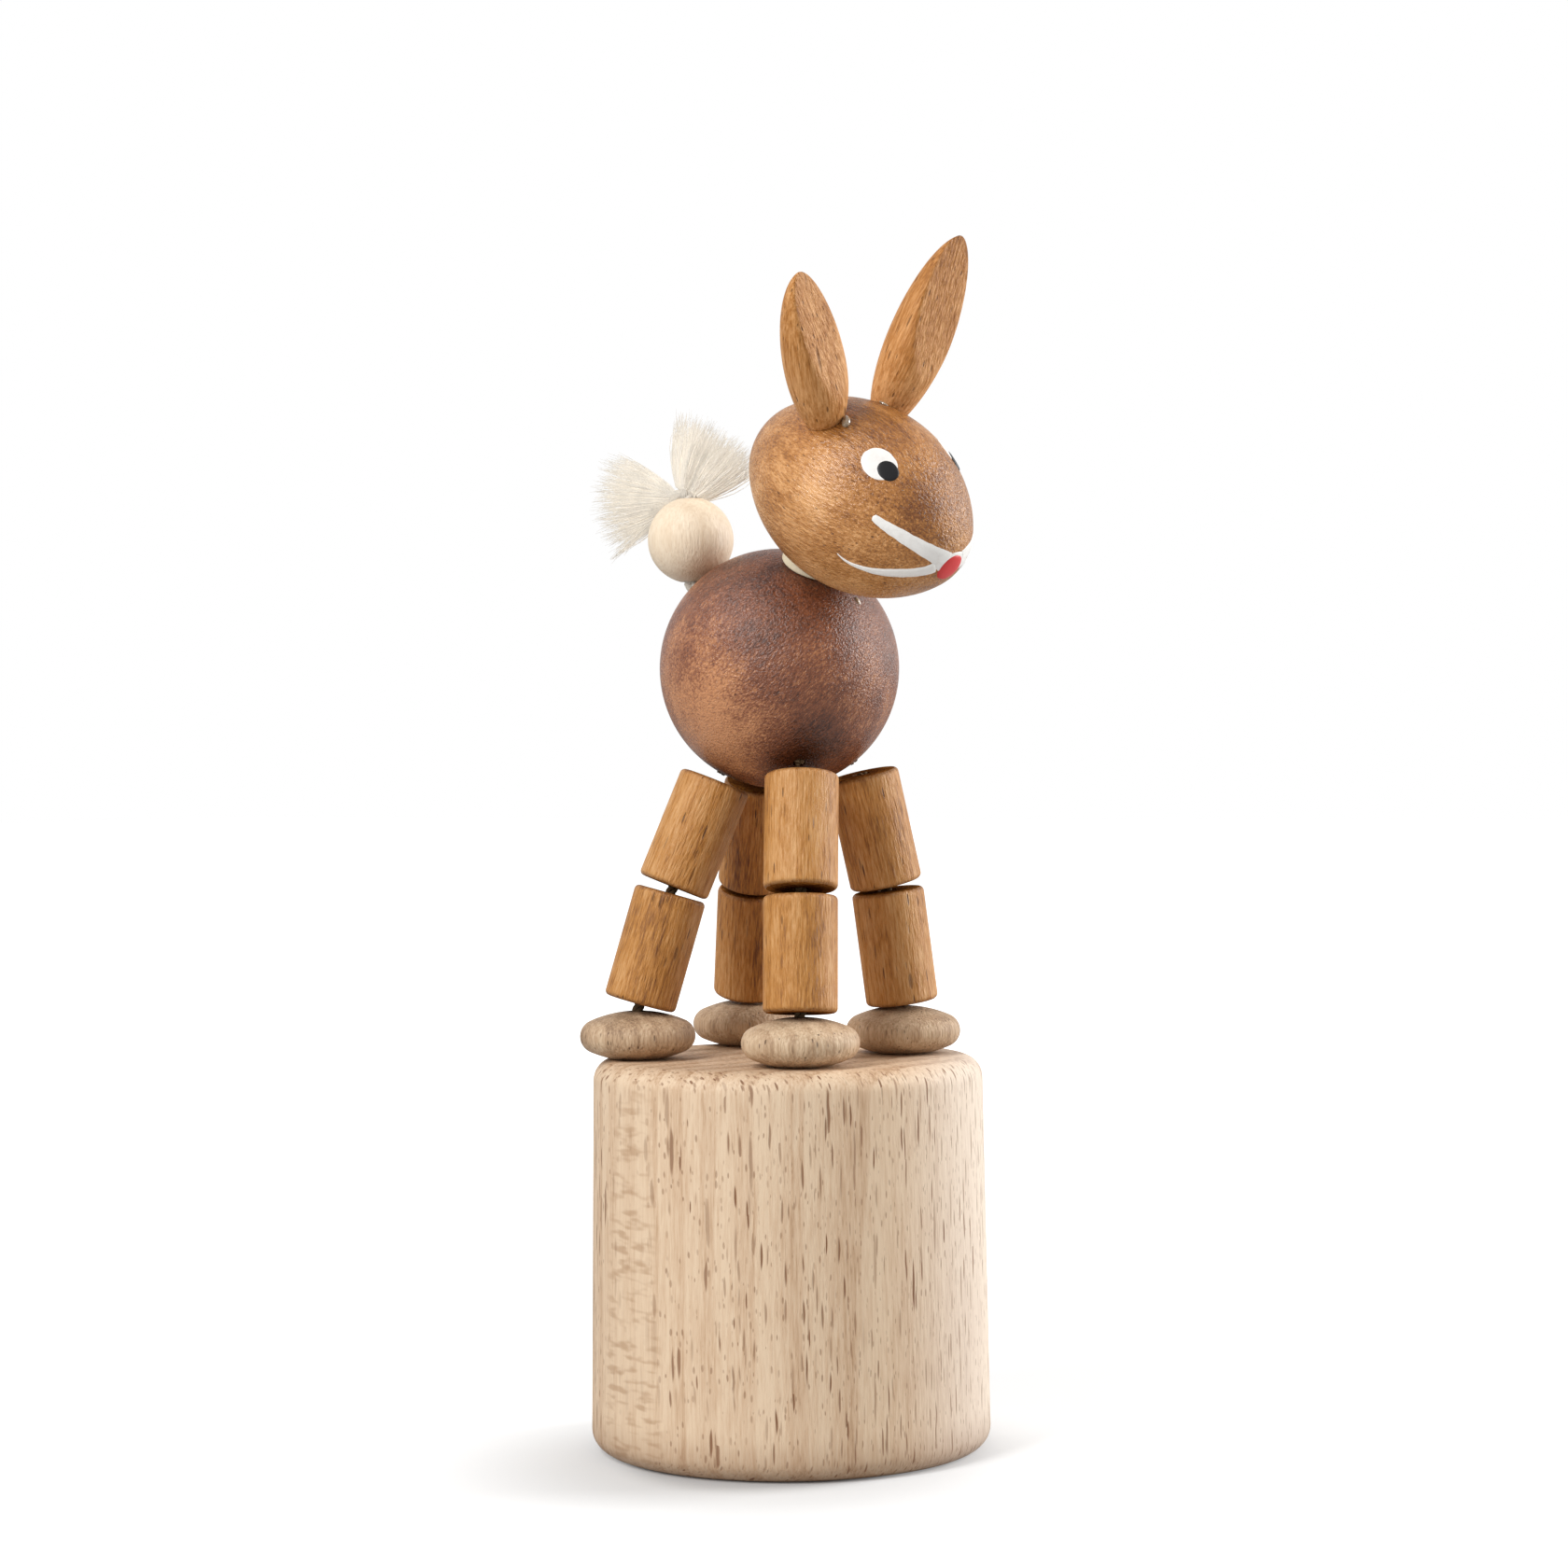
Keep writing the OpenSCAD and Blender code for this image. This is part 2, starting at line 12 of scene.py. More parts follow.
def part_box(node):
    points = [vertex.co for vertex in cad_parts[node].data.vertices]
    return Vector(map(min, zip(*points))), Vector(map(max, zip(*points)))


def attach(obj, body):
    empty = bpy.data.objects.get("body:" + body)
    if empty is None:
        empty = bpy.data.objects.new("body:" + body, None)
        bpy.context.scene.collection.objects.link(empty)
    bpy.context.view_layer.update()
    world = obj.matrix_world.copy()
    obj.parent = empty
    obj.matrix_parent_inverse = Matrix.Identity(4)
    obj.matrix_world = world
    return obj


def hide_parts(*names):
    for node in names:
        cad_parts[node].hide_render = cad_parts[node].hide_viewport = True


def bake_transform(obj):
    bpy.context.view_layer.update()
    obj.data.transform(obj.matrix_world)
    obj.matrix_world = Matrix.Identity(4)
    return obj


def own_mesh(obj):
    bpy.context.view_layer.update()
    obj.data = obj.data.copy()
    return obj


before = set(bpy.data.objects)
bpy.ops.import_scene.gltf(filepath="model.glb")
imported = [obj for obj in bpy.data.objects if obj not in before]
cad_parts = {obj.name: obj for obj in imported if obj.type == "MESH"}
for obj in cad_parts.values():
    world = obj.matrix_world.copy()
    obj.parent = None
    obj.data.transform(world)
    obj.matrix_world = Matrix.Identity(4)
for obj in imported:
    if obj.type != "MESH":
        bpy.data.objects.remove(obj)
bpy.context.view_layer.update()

bl_info = {
    "name": "Push puppet",
    "version": (1, 0, 0),
    "blender": (4, 5, 0),
    "location": "View3D > Sidebar > Puppet",
    "description": "Builds the looks of a wooden push puppet around its CAD frame",
    "category": "Object",
}

MM = 0.001
UP = Vector((0, 0, 1))
LEGS = {"front_right": (1, -1), "front_left": (1, 1), "rear_right": (-1, -1), "rear_left": (-1, 1)}
SIDES = {"right": -1, "left": 1}


# Properties


def length(name, description, size):
    return bpy.props.FloatProperty(
        name=name, description=description, default=size * MM, unit="LENGTH", precision=5)


def angle(name, description, degrees):
    return bpy.props.FloatProperty(
        name=name, description=description, default=math.radians(degrees), subtype="ANGLE")


def share(name, description, value):
    return bpy.props.FloatProperty(
        name=name, description=description, default=value, min=0, max=1, subtype="FACTOR")


def colour(name, description, rgb):
    return bpy.props.FloatVectorProperty(
        name=name, description=description, default=rgb, min=0, max=1, size=3, subtype="COLOR")


def whole_number(name, description, number, least):
    return bpy.props.IntProperty(name=name, description=description, default=number, min=least)


class PuppetDrum(bpy.types.PropertyGroup):
    """Sizes of the drum and what is in it."""

    height: length("Height", "Height of the drum", 37.4)
    top_width: length("Top width", "Diameter of the drum at its top edge", 37.4)
    foot_width: length("Foot width", "Diameter of the drum at its foot", 38.4)
    edge: length("Edge", "Rounding of the outer edges", 2)
    bore: length("Bore", "Diameter of the bore that takes the button", 31.2)
    ceiling: length("Ceiling", "Thickness of the wood over the bore", 7)
    chamfer: length("Mouth chamfer", "Chamfer at the mouth of the bore", 0.6)
    button_base: length("Button face", "Height of the button's face over the table", 4.6)
    button_depth: length("Button thickness", "Thickness of the button", 8)
    knot: length("Knot", "Diameter of the knot at each cord's end", 2.6)
    anchor: length("Anchor", "Distance of the cord anchors from the axis", 9.6)
    press: length("Press", "How far the button goes in", 10)
    spring: length("Spring", "Diameter of the spring at its wire's middle", 11)
    wire: length("Wire", "Diameter of the spring's wire", 0.9)
    curls: whole_number("Curls", "Number of the spring's curls", 6, 3)


class PuppetLegs(bpy.types.PropertyGroup):
    """Sizes of the feet, the leg pieces and their cords."""

    foot: length("Foot", "Diameter of a foot", 11.1)
    foot_height: length("Foot height", "Height of a foot", 4.6)
    foot_rim: length("Foot rim", "Radius of a foot's rim", 1.6)
    foot_flat: length("Foot flat", "Depth of the flat that a foot stands on", 0.25)
    width: length("Width", "Diameter of a leg piece", 7)
    span: length("Length", "Length of a leg piece", 11)
    edge: length("Edge", "Rounding of a leg piece's ends", 0.45)
    front_x: length("Front feet ahead", "Distance of the front feet ahead of the axis", 7.6)
    front_y: length("Front feet aside", "Distance of a front foot from the middle", 8.7)
    rear_x: length("Rear feet behind", "Distance of the rear feet behind the axis", 11.2)
    rear_y: length("Rear feet aside", "Distance of a rear foot from the middle", 9.1)
    front_shin: angle("Front shin lean", "Lean of the front shins", 7.8)
    front_thigh: angle("Front thigh lean", "Lean of the front thighs", 13.2)
    front_turn: angle("Front turn", "Turn of the front legs' lean from the animal's length", 60)
    rear_shin: angle("Rear shin lean", "Lean of the rear shins", 16.5)
    rear_thigh: angle("Rear thigh lean", "Lean of the rear thighs", 22.7)
    rear_turn: angle("Rear turn", "Turn of the rear legs' lean from the animal's length", 44)
    front_ankle: length("Front ankle gap", "Gap at the front ankles", 0.35)
    front_knee: length("Front knee gap", "Gap at the front knees", 0.6)
    rear_ankle: length("Rear ankle gap", "Gap at the rear ankles", 0.7)
    rear_knee: length("Rear knee gap", "Gap at the rear knees", 0.65)
    cord: length("Cord", "Diameter of the leg cords", 1.1)
    hole: length("Cord hole", "Diameter of the holes for the cords", 1.9)


class PuppetBody(bpy.types.PropertyGroup):
    """Sizes of the ball, the neck, the head and the ears."""

    ball: length("Ball", "Diameter of the ball", 23.1)
    socket: length("Socket", "Depth of the holes that the cords are glued into", 6)
    neck_tilt: angle("Neck tilt", "Tilt of the neck from upright", 32)
    neck_side: angle("Neck lean", "Lean of the neck towards the animal's right", 22.5)
    neck: length("Neck disc", "Diameter of the neck disc", 6)
    neck_depth: length("Neck thickness", "Thickness of the neck disc", 1.05)
    neck_edge: length("Neck edge", "Rounding of the neck disc's edges", 0.25)
    neck_gap: length("Neck gap", "Gap on each side of the neck disc", 0.12)
    neck_margin: length("Neck margin", "Width of the flats beyond the neck disc", 0.15)
    head_length: length("Head length", "Length of the head from crown to nose", 24.8)
    head: length("Head", "Diameter of the head", 17.5)
    nose: length("Nose end", "Radius of the head's end at the nose", 5.7)
    crown: length("Crown end", "Radius of the head's end at the crown", 6.3)
    neck_back: length("Neck place", "Distance of the neck behind the middle of the head", 3)
    head_turn: angle("Head turn", "Turn of the head on its neck", 17)
    ear_left: length("Left ear", "Length of the left ear above the head", 17.7)
    ear_right: length("Right ear", "Length of the right ear above the head", 15.3)
    ear: length("Ear width", "Width of an ear", 6)
    ear_belly: share("Ear belly", "Widest place of an ear as a share of its length", 0.455)
    ear_root: length("Ear root", "Depth that an ear is let into the head", 1)
    ear_back: length("Ear place", "Place of an ear behind the middle of the head", 3.3)
    ear_side: angle("Ear side", "Place of an ear round the side of the head", 34)
    ear_splay: angle("Ear splay", "Outward lean of an ear", 24)
    ear_rake: angle("Ear rake", "Backward lean of an ear", 10.3)
    ear_face: angle("Ear face", "Inward turn of an ear's flat face", 16)
    ear_flat_root: length("Ear flat at root", "How far the flat lies ahead of the axis at the root", 3.6)
    ear_flat_tip: length("Ear flat at tip", "How far the flat lies behind the axis at the tip", 0.4)
    eye: length("Eye", "Length of a painted eye", 3.6)
    pupil: length("Pupil", "Length of a painted pupil", 2.2)
    paint: length("Paint", "Thickness of the paint", 0.07)


class PuppetTail(bpy.types.PropertyGroup):
    """Sizes of the tail's bead, yarn and tuft."""

    bead: length("Bead", "Diameter of the tail bead", 8.4)
    yarn: length("Yarn", "Diameter of the tail yarn", 1.6)
    hole: length("Yarn hole", "Diameter of the holes for the yarn", 2.2)
    back: length("Back bunch", "Length of the bunch that points back", 10.8)
    top: length("Top bunch", "Length of the bunch that points up", 6.6)
    spread: length("Spread", "Width of a bunch at its end", 9.4)
    depth: length("Depth", "Thickness of a bunch at its end", 5.2)
    root: length("Root", "Width of a bunch at its root", 1.4)
    strand: length("Strand", "Diameter of a strand", 0.09)
    strands: whole_number("Strands", "Strands in a bunch", 760, 20)


class PuppetColours(bpy.types.PropertyGroup):
    """Colours of the woods, the paint and the yarn."""

    beech: colour("Beech", "Raw wood of the drum", (0.73, 0.555, 0.385))
    beech_mid: colour("Beech middle", "Middle tone of the drum", (0.61, 0.425, 0.275))
    beech_late: colour("Beech late wood", "Darker layers in the drum", (0.40, 0.235, 0.125))
    fleck: colour("Fleck", "Flecks in the drum", (0.205, 0.088, 0.035))
    foot: colour("Foot", "Stain on the feet", (0.70, 0.53, 0.355))
    foot_mid: colour("Foot middle", "Middle tone of the feet", (0.455, 0.30, 0.18))
    foot_dark: colour("Foot grain", "Grain in the feet", (0.17, 0.097, 0.053))
    leg: colour("Leg", "Stain on the legs", (0.61, 0.325, 0.125))
    leg_mid: colour("Leg middle", "Middle tone of the legs", (0.445, 0.188, 0.038))
    leg_dark: colour("Leg grain", "Grain in the legs", (0.15, 0.052, 0.014))
    ball: colour("Ball", "Stain on the ball where it is worn", (0.57, 0.255, 0.112))
    ball_mid: colour("Ball middle", "Middle tone of the ball", (0.225, 0.072, 0.030))
    ball_dark: colour("Ball grain", "Darkest stain on the ball", (0.060, 0.017, 0.008))
    head: colour("Head", "Stain on the head and ears", (0.72, 0.375, 0.15))
    head_mid: colour("Head middle", "Middle tone of the head and ears", (0.44, 0.18, 0.043))
    head_dark: colour("Head grain", "Grain in the head and ears", (0.175, 0.055, 0.011))
    neck: colour("Neck disc", "Wood of the neck disc", (0.86, 0.75, 0.54))
    bead: colour("Bead", "Wood of the tail bead", (0.84, 0.70, 0.53))
    bead_dark: colour("Bead grain", "Grain in the tail bead", (0.58, 0.41, 0.255))
    white: colour("White paint", "Paint of eyes and mouth", (0.89, 0.87, 0.835))
    black: colour("Black paint", "Paint of the pupils", (0.009, 0.009, 0.010))
    red: colour("Red paint", "Paint of the nose", (0.66, 0.045, 0.045))
    yarn: colour("Yarn", "Cotton of the tail", (0.80, 0.75, 0.66))
    # The tuft's colour is darker than its cotton, a painted shade in place of the shadows that the tuft does
    # not cast, not even on itself
    tuft: colour("Tuft", "Frayed cotton of the tuft", (0.72, 0.68, 0.615))
    # The cords' colour is dark as painted shade: they show only in the narrow gaps at the joints
    cord: colour("Cord", "Cotton of the cords", (0.17, 0.11, 0.06))
    glue: colour("Glue", "Dried glue at the ears and on the ball", (0.42, 0.30, 0.19))


GROUPS = {
    "puppet_drum": PuppetDrum,
    "puppet_legs": PuppetLegs,
    "puppet_body": PuppetBody,
    "puppet_tail": PuppetTail,
    "puppet_colours": PuppetColours,
}


# Tolerances and spares, in metres

MERGED = 1e-7
ON_RING = 1e-6
OVERCUT = 1 * MM
END_GAP = 0.15 * MM
KNOT_ROOM = 0.4 * MM
PAINT_SUNK = 0.1 * MM

# Room beside an edge that its rounding needs, as a share of the rounding
EASE_ROOM = 1.6

# Millimetres that a piece may lie off the box of its CAD node
FIT = 0.4

# Millimetres that a piece's grain is moved aside and along the trunk, at most
ASIDE, TRUNK = 3, 400

# Three plies that touch, as a share of the cord's width, and the lengths of their twist
PLIES, PLY_SHARE = 3, 0.464
CORD_PITCH, YARN_PITCH, TWIST_STEP = 2.6 * MM, 3.4 * MM, 0.2 * MM


# Places of the pieces, worked out as in the CAD source


def leg_line(scene, name):
    """Points along one leg, from its foot on the drum to the top of its thigh."""
    legs, drum = scene.puppet_legs, scene.puppet_drum
    ahead, side = LEGS[name]
    kind = "front" if ahead > 0 else "rear"

    def value(key):
        return getattr(legs, f"{kind}_{key}")

    turn = value("turn")
    inward = Vector((-ahead * math.cos(turn), -side * math.sin(turn), 0))
    shin, thigh = (
        inward * math.sin(lean) + UP * math.cos(lean) for lean in (value("shin"), value("thigh")))
    foot = Vector((ahead * value("x"), side * value("y"), drum.height))
    foot_top = foot + UP * legs.foot_height
    shin_end = foot_top + shin * value("ankle")
    shin_top = shin_end + shin * legs.span
    thigh_end = shin_top + (shin + thigh) / 2 * value("knee")
    thigh_top = thigh_end + thigh * legs.span
    return SimpleNamespace(
        foot=foot, foot_top=foot_top, shin=shin, thigh=thigh, shin_end=shin_end, shin_top=shin_top,
        shin_middle=(shin_end + shin_top) / 2, thigh_end=thigh_end, thigh_top=thigh_top,
        thigh_middle=(thigh_end + thigh_top) / 2)


def polar(tilt, turn):
    """A direction, tilted from upright and turned about Z."""
    return Vector((math.sin(tilt) * math.cos(turn), math.sin(tilt) * math.sin(turn), math.cos(tilt)))


def animal(scene):
    """Centres and directions of the ball, neck, head and tail."""
    body = scene.puppet_body
    ball_r = body.ball / 2
    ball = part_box("body_ball")[0] + Vector((1, 1, 1)) * ball_r
    neck_way = polar(body.neck_tilt, -body.neck_side)
    ahead = polar(body.neck_tilt + math.pi / 2, -body.neck_side)
    nose_way = ahead * math.cos(body.head_turn) + neck_way.cross(ahead) * math.sin(body.head_turn)
    flat_r = body.neck / 2 + body.neck_margin
    ball_flat = math.sqrt(ball_r ** 2 - flat_r ** 2)
    head_flat = math.sqrt(egg_radius(body, -body.neck_back) ** 2 - flat_r ** 2)
    neck = ball + neck_way * (ball_flat + body.neck_gap)
    head = neck + neck_way * (body.neck_depth + body.neck_gap + head_flat) + nose_way * body.neck_back
    low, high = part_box("tail_bead")
    bead = (low + high) / 2
    bead_foot = bead - UP * scene.puppet_tail.bead / 2
    tail_way = (bead_foot - ball).normalized()
    right_way = nose_way.cross(neck_way)
    place = Matrix.Translation(head) @ Matrix((neck_way, right_way, nose_way)).transposed().to_4x4()
    return SimpleNamespace(
        ball=ball, ball_r=ball_r, neck_way=neck_way, flat_r=flat_r, ball_flat=ball_flat,
        head_flat=head_flat, neck=neck, bead=bead, bead_foot=bead_foot,
        bead_crown=bead + UP * scene.puppet_tail.bead / 2, tail_way=tail_way,
        tail_root=ball + tail_way * ball_r, head_place=place)


def facing(at, way):
    """The place of a piece whose own Z axis points along way."""
    turn = Matrix.Rotation(math.atan2(way.y, way.x), 4, "Z")
    return Matrix.Translation(at) @ turn @ Matrix.Rotation(math.acos(way.z), 4, "Y")


# Outlines


def arc(centre, radius, start, end, steps):
    """Points on an arc, angles in radians."""
    angles = (start + (end - start) * i / steps for i in range(steps + 1))
    return [(centre[0] + radius * math.cos(a), centre[1] + radius * math.sin(a)) for a in angles]


def egg_arcs(reach, radius, end):
    """How far the centre of an egg's side lies past its axis, and the angle where its end takes over."""
    offset = ((reach - end) ** 2 - (radius - end) ** 2) / (2 * (radius - end))
    return offset, math.atan2(reach - end, offset)


def half_egg(reach, radius, end, steps=20):
    """Half of an egg's outline from its waist to one end: distance from the axis, distance along it."""
    offset, meet = egg_arcs(reach, radius, end)
    side = arc((-offset, 0), radius + offset, 0, meet, steps)
    return side + arc((0, reach - end), end, meet, math.pi / 2, steps)[1:-1] + [(0, reach)]


def egg_radius(body, along):
    """Radius of the head at a distance from its middle, towards the nose if positive."""
    reach, radius = body.head_length / 2, body.head / 2
    end = body.nose if along > 0 else body.crown
    offset, meet = egg_arcs(reach, radius, end)
    at = abs(along)
    if at <= (radius + offset) * math.sin(meet):
        return math.sqrt((radius + offset) ** 2 - at ** 2) - offset
    return math.sqrt(max(0, end ** 2 - (at - reach + end) ** 2))


# Mesh tools


def turned(profile, steps):
    """A shape turned about Z from an outline of distances from the axis and heights."""
    bm = bmesh.new()
    verts = [bm.verts.new((0, r, z)) for r, z in profile]
    edges = [bm.edges.new(pair) for pair in zip(verts, verts[1:])]
    bmesh.ops.spin(bm, geom=verts + edges, cent=(0, 0, 0), axis=UP, angle=math.tau, steps=steps,
                   use_merge=True)
    bmesh.ops.remove_doubles(bm, verts=bm.verts, dist=MERGED)
    bmesh.ops.recalc_face_normals(bm, faces=bm.faces)
    return bm


def ease(bm, radius, height, width, segments=4):
    """Rounds the ring of edges at a distance from the axis and a height."""
    def on_ring(v):
        return abs(math.hypot(v.co.x, v.co.y) - radius) < ON_RING and abs(v.co.z - height) < ON_RING
    rim = [e for e in bm.edges if on_ring(e.verts[0]) and on_ring(e.verts[1])]
    if not rim:
        raise ValueError("there is no rim to ease at that place")
    bmesh.ops.bevel(bm, geom=rim, offset=width, offset_type="OFFSET", segments=segments, profile=0.5,
                    affect="EDGES", material=-1)


def bored(width, height, hole, edge, belt=()):
    """A cylinder with a hole along it and eased ends; belt has the heights of more rings on its side."""
    r, hole_r, keep = width / 2, hole / 2, edge * EASE_ROOM
    side = [(r, z) for z in (0, *belt, height)]
    outline = [(hole_r, 0), (r - keep, 0), *side, (r - keep, height), (hole_r, height), (hole_r, 0)]
    bm = turned(outline, 64)
    ease(bm, r, 0, edge)
    ease(bm, r, height, edge)
    return bm


def sliced(bm, at, way):
    """Takes off what lies beyond a plane, and returns the edges of the cut."""
    geom = bm.verts[:] + bm.edges[:] + bm.faces[:]
    cut = bmesh.ops.bisect_plane(bm, geom=geom, plane_co=at, plane_no=way, clear_outer=True)
    return [e for e in cut["geom_cut"] if isinstance(e, bmesh.types.BMEdge)]


def drilled(bm, *holes):
    """The shape with round holes, each given by its start, its way, its depth and its diameter."""
    cutter = bmesh.new()
    for start, way, depth, width in holes:
        middle = facing(start + way * depth / 2, way)
        bmesh.ops.create_cone(cutter, cap_ends=True, segments=40, radius1=width / 2, radius2=width / 2,
                              depth=depth, matrix=middle)
    return carved(bm, cutter)


def carved(bm, cutter):
    """The first shape less the second."""
    objects = []
    for name, shape in (("blank", bm), ("cutter", cutter)):
        mesh = bpy.data.meshes.new(name)
        shape.to_mesh(mesh)
        shape.free()
        objects.append(bpy.data.objects.new(name, mesh))
        bpy.context.scene.collection.objects.link(objects[-1])
    cut = objects[0].modifiers.new("cut", "BOOLEAN")
    cut.operation, cut.solver, cut.object = "DIFFERENCE", "EXACT", objects[1]
    done = bmesh.new()
    done.from_object(objects[0], bpy.context.evaluated_depsgraph_get())
    for made in objects:
        mesh = made.data
        bpy.data.objects.remove(made)
        bpy.data.meshes.remove(mesh)
    return done


def piece(name, bm, finish, place=Matrix(), seed=0, tone=0.0, fibres=UP):
    """Makes an object of a shape drawn about its own axis; its grain, place and tone are attributes.

    The seed moves and turns the grain. Without one it lies as the piece stands.
    """
    shift, spin = Vector(), Matrix.Identity(3)
    if seed is not None:
        draw = random.Random(seed)
        shift = Vector((draw.uniform(-ASIDE, ASIDE), draw.uniform(-ASIDE, ASIDE), draw.uniform(0, TRUNK)))
        upright = fibres.rotation_difference(UP).to_matrix()
        spin = Matrix.Rotation(draw.uniform(0, math.tau), 3, "Z") @ upright
    grain = bm.verts.layers.float_vector.new("grain")
    own = bm.verts.layers.float_vector.new("own")
    shade = bm.verts.layers.float.new("tone")
    for v in bm.verts:
        v[own] = v.co / MM
        v[grain] = spin @ (v.co / MM) + shift
        v[shade] = tone(v.co / MM) if callable(tone) else tone
    bm.transform(place)
    if place.is_negative:
        bmesh.ops.reverse_faces(bm, faces=bm.faces)
    return add_object(name, bm, finish)


def drift(at, size, amount):
    """A slow change of tone over a piece, from a place in mm."""
    return noise.noise(at / size) * amount


def spots(at, table):
    """Sum of soft spots of tone at a place, each with its centre, its reach and its strength there."""
    total = 0.0
    for centre, reach, strength in table:
        left = max(0.0, 1 - (at - Vector(centre)).length / reach)
        total += left * left * (3 - 2 * left) * strength
    return total


def add_object(name, bm, finish, sharp=40):
    """Makes a smooth object, sharp at edges over an angle in degrees."""
    mesh = bpy.data.meshes.new(name)
    bm.to_mesh(mesh)
    bm.free()
    mesh.shade_smooth()
    mesh.set_sharp_from_angle(angle=math.radians(sharp))
    mesh.materials.append(finish)
    made = bpy.data.objects.new(name, mesh)
    bpy.context.scene.collection.objects.link(made)
    return made


def stands_for(made, body, slot, *nodes, slack=FIT):
    """The piece rides on a body and stands for CAD nodes; a single node's box it has to fill."""
    if len(nodes) == 1 and slack:
        places = [v.co for v in made.data.vertices]
        box = [[pick(at[i] for at in places) for i in range(3)] for pick in (min, max)]
        off = max(abs(a - b) for mine, cad in zip(box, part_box(nodes[0])) for a, b in zip(mine, cad))
        if off > slack * MM:
            raise ValueError(f"{made.name} lies {off / MM:.2f} mm off {nodes[0]}")
    if body:
        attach(made, body)
    if nodes:
        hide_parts(*nodes)
    return made


def shortens(made, drum):
    """Gives a piece between the button and the drum's ceiling a mesh of its own."""
    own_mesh(made)


# Threads


def along(points, step):
    """Points at even steps on a line through points."""
    points = [Vector(p) for p in points]
    spans = [(b - a).length for a, b in zip(points, points[1:])]
    total = sum(spans)
    count = max(2, round(total / step))
    found = []
    for i in range(count + 1):
        rest = total * i / count
        for a, b, span in zip(points, points[1:], spans):
            if rest <= span or b is points[-1]:
                found.append(a.lerp(b, min(1, rest / span)))
                break
            rest -= span
    return found


def twisted(points, width, pitch=CORD_PITCH):
    """Lines of the plies that are twisted round a path."""
    path = along(points, TWIST_STEP)
    lines = [[] for _ in range(PLIES)]
    for i, at in enumerate(path):
        way = (path[min(i + 1, len(path) - 1)] - path[max(i - 1, 0)]).normalized()
        u = way.cross(Vector((0.3, 1, 0.2))).normalized()
        v = way.cross(u)
        for k, line in enumerate(lines):
            a = math.tau * (i * TWIST_STEP / pitch + k / PLIES)
            line.append(at + (u * math.cos(a) + v * math.sin(a)) * (width - width * PLY_SHARE) / 2)
    return lines


def threads(name, lines, width, finish, sides=6, radii=None):
    """A mesh of round threads along lines of points, thinner where radii say so."""
    curve = bpy.data.curves.new(name, "CURVE")
    curve.dimensions = "3D"
    curve.bevel_depth = width / 2
    curve.bevel_resolution = (sides - 4) // 2
    curve.use_fill_caps = True
    for line in lines:
        spline = curve.splines.new("POLY")
        spline.points.add(len(line) - 1)
        for i, at in enumerate(line):
            spline.points[i].co = (*at, 1)
            spline.points[i].radius = radii(i / (len(line) - 1)) if radii else 1
    drawn = bpy.data.objects.new(name + "_line", curve)
    bpy.context.scene.collection.objects.link(drawn)
    mesh = bpy.data.meshes.new_from_object(drawn.evaluated_get(bpy.context.evaluated_depsgraph_get()))
    bm = bmesh.new()
    bm.from_mesh(mesh)
    bpy.data.meshes.remove(mesh)
    bpy.data.objects.remove(drawn)
    bpy.data.curves.remove(curve)
    bmesh.ops.recalc_face_normals(bm, faces=bm.faces)
    return add_object(name, bm, finish, sharp=70)


# Shaders


class Wire:
    """An output socket that takes part in Python expressions."""

    def __init__(self, shader, socket):
        self.shader, self.socket = shader, socket

    def __add__(self, other):
        return self.shader.maths("ADD", self, other)

    def __sub__(self, other):
        return self.shader.maths("SUBTRACT", self, other)

    def __rsub__(self, other):
        return self.shader.maths("SUBTRACT", other, self)

    def __mul__(self, other):
        return self.shader.maths("MULTIPLY", self, other)

    def __truediv__(self, other):
        return self.shader.maths("DIVIDE", self, other)

    __radd__, __rmul__ = __add__, __mul__

    def step(self, start, end):
        """From 0 to 1, smoothly, as the value goes from start to end."""
        return self.shader.node("ShaderNodeMapRange", {"interpolation_type": "SMOOTHSTEP"},
                                {"Value": self, "From Min": start, "From Max": end})


